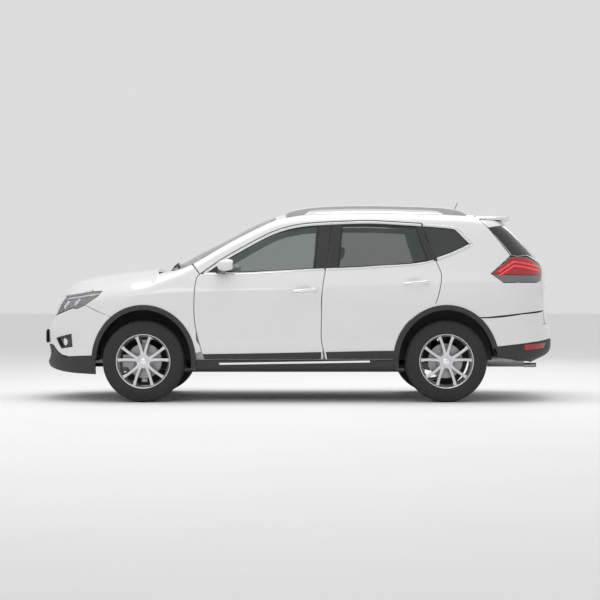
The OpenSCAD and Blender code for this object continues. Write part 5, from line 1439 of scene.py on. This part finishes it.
front_cushion = [[-290, 560], [-300, 635], [-200, 650], [60, 612], [150, 600], [150, 550], [0, 535]]
front_back = [[160, 590], [110, 650], [180, 900], [280, 1200], [318, 1222], [362, 1212], [366, 1180], [290, 860],
              [235, 640], [210, 590]]
front_head = [[338, 1290], [356, 1390], [390, 1402], [430, 1390], [422, 1330], [402, 1284]]
rear_cushion = [[768, 530], [772, 615], [1000, 628], [1150, 622], [1085, 545]]
rear_back = [[1110, 620], [1175, 800], [1300, 1180], [1330, 1198], [1368, 1190], [1330, 1020], [1240, 700],
             [1170, 640]]
rear_head = [[1340, 1262], [1368, 1350], [1392, 1362], [1424, 1352], [1412, 1290], [1400, 1260]]
for side, y0 in (("left", -SEAT_Y), ("right", SEAT_Y)):
    padded_piece(f"front_seat_cushion_{side}", cushion_mesh(front_cushion, 446, y0), ["front_seats"]
                 if side == "left" else ())
    padded_piece(f"front_seat_back_{side}", cushion_mesh(front_back, 440, y0), ())
    padded_piece(f"front_headrest_{side}", cushion_mesh(front_head, 212, y0), (), 10, 9)
    for k, dy in enumerate((-52, 52)):
        build(f"front_headrest_rod_{side}_{k + 1}", rod((345, y0 + dy, 1200), (378, y0 + dy, 1310), 8,
                                                        oval(6, 6, 16)), chrome, "body")
    runners = [rod((-250, y0 + dy, 338), (150, y0 + dy, 338), 10, oval(16, 12, 16, 4)) for dy in (-190, 190)]
    base = join(pebble((-60, y0, 440), (210, 190, 100), (6, 6), 20), *runners)
    build(f"front_seat_base_{side}", base, cabin, "body")
padded_piece("rear_seat_cushion", cushion_mesh(rear_cushion, 1100, 0, 44), ["rear_seat"], voxel=14)
padded_piece("rear_seat_back", cushion_mesh(rear_back, 1100, 0, 44), (), voxel=14)
for k, y0 in enumerate((-380, 0, 380)):
    padded_piece(f"rear_headrest_{k + 1}", cushion_mesh(rear_head, 200, y0), (), 9, 9)
    rods = [rod((1345, y0 + dy, 1170), (1385, y0 + dy, 1290), 8, oval(6, 6, 16)) for dy in (-45, 45)]
    build(f"rear_headrest_rods_{k + 1}", join(*rods), chrome, "body")
build("rear_seat_base", pebble((875, 0, 440), (80, 552, 100), (8, 8), 26), cabin, "body")
print("seats done")

# %% Steering wheel
t = np.linspace(0, 2 * np.pi, 72, endpoint=False)
ring_path = np.stack([np.zeros(72), 180 * np.cos(t), 180 * np.sin(t)], -1)
grip = swept(ring_path, oval(15, 13, 18, 2.2), up=(1, 0, 0.0001), closed=True)
boss = pebble((-6, 0, -6), (18, 62, 52), (3, 3), 24)
arms = []
for a in (math.radians(8), math.radians(172), math.radians(270)):
    c, d = math.cos(a), math.sin(a)
    arms.append(rod((0, 45 * c, 45 * d), (0, 172 * c, 172 * d), 10, oval(15, 6, 14, 3), up=(1, 0, 0)))
column = rod((-112, 0, 0), (-10, 0, 0), 8, oval(18, 18, 24))
wheel_mesh = moved(turned(join(grip, boss, *arms, column), 1, 25), (-455, -SEAT_Y, 1000))
build("steering_wheel_rim", wheel_mesh, cabin, "body", ["steering_wheel"])

# %% Finishes of the carried-over parts
node_finish = {
    "door_frame": white, "floor_pan": carpet, "wheel_housings": plastic, "cowl": plastic, "dashboard": cabin,
    "antenna": gloss_black,
    "front_frame": steel, "rear_frame": steel, "front_subframe": steel, "rear_subframe": steel, "engine": metal,
    "radiator": steel,
    "exhaust": metal, "fuel_tank": plastic, "knuckle": iron, "hinges": steel,
}
painted = []
for piece in bpy.data.objects:
    if "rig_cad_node" not in piece or piece.hide_render:
        continue
    chosen = next((m for key, m in node_finish.items() if piece.name.split(".")[0].startswith(key)), plastic)
    piece.data.materials.clear()
    piece.data.materials.append(chosen)
    painted.append(piece.name)
print(len(painted), "carried-over parts:", ", ".join(sorted(painted)))

# %% Camera, floor and light
camera = bpy.data.objects.new("camera", bpy.data.cameras.new("camera"))
bpy.context.scene.collection.objects.link(camera)
camera.location = (0.016, -14.9, 0.912)
camera.rotation_euler = (math.pi / 2, 0, 0)
camera.data.lens, camera.data.sensor_width = 94.4, 36.0
camera.data.clip_end = 300
bpy.context.scene.camera = camera
floor_mesh = bpy.data.meshes.new("floor")
floor_mesh.from_pydata([(-90, -90, 0), (90, -90, 0), (90, 90, 0), (-90, 90, 0)], [], [(0, 1, 2, 3)])
floor = bpy.data.objects.new("floor", floor_mesh)
bpy.context.scene.collection.objects.link(floor)
floor_finish = finish_of("pale_floor", "body_paint", (0.86, 0.86, 0.86), 0.8, mottle=0.01, patch=900)
floor_mesh.materials.append(floor_finish)
bpy.context.scene.view_settings.view_transform = "Standard"
world = bpy.data.worlds.new("studio")
bpy.context.scene.world = world
world.use_nodes = True
world.node_tree.nodes["Background"].inputs["Color"].default_value = (1, 1, 1, 1)
world.node_tree.nodes["Background"].inputs["Strength"].default_value = 0.72


def softbox(name, place, aim, size, power):
    light = bpy.data.objects.new(name, bpy.data.lights.new(name, "AREA"))
    light.data.shape = "RECTANGLE"
    light.data.size, light.data.size_y, light.data.energy = *size, power
    light.location = place
    light.rotation_euler = (Vector(aim) - Vector(place)).to_track_quat("-Z", "Y").to_euler()
    bpy.context.scene.collection.objects.link(light)


softbox("overhead", (0, 0, 6.5), (0, 0, 0), (7, 4), 230)
softbox("near_side", (-3, -8, 5), (0, 0, 0.8), (6, 2), 80)
softbox("far_side", (3, 8, 5), (0, 0, 0.8), (6, 2), 80)
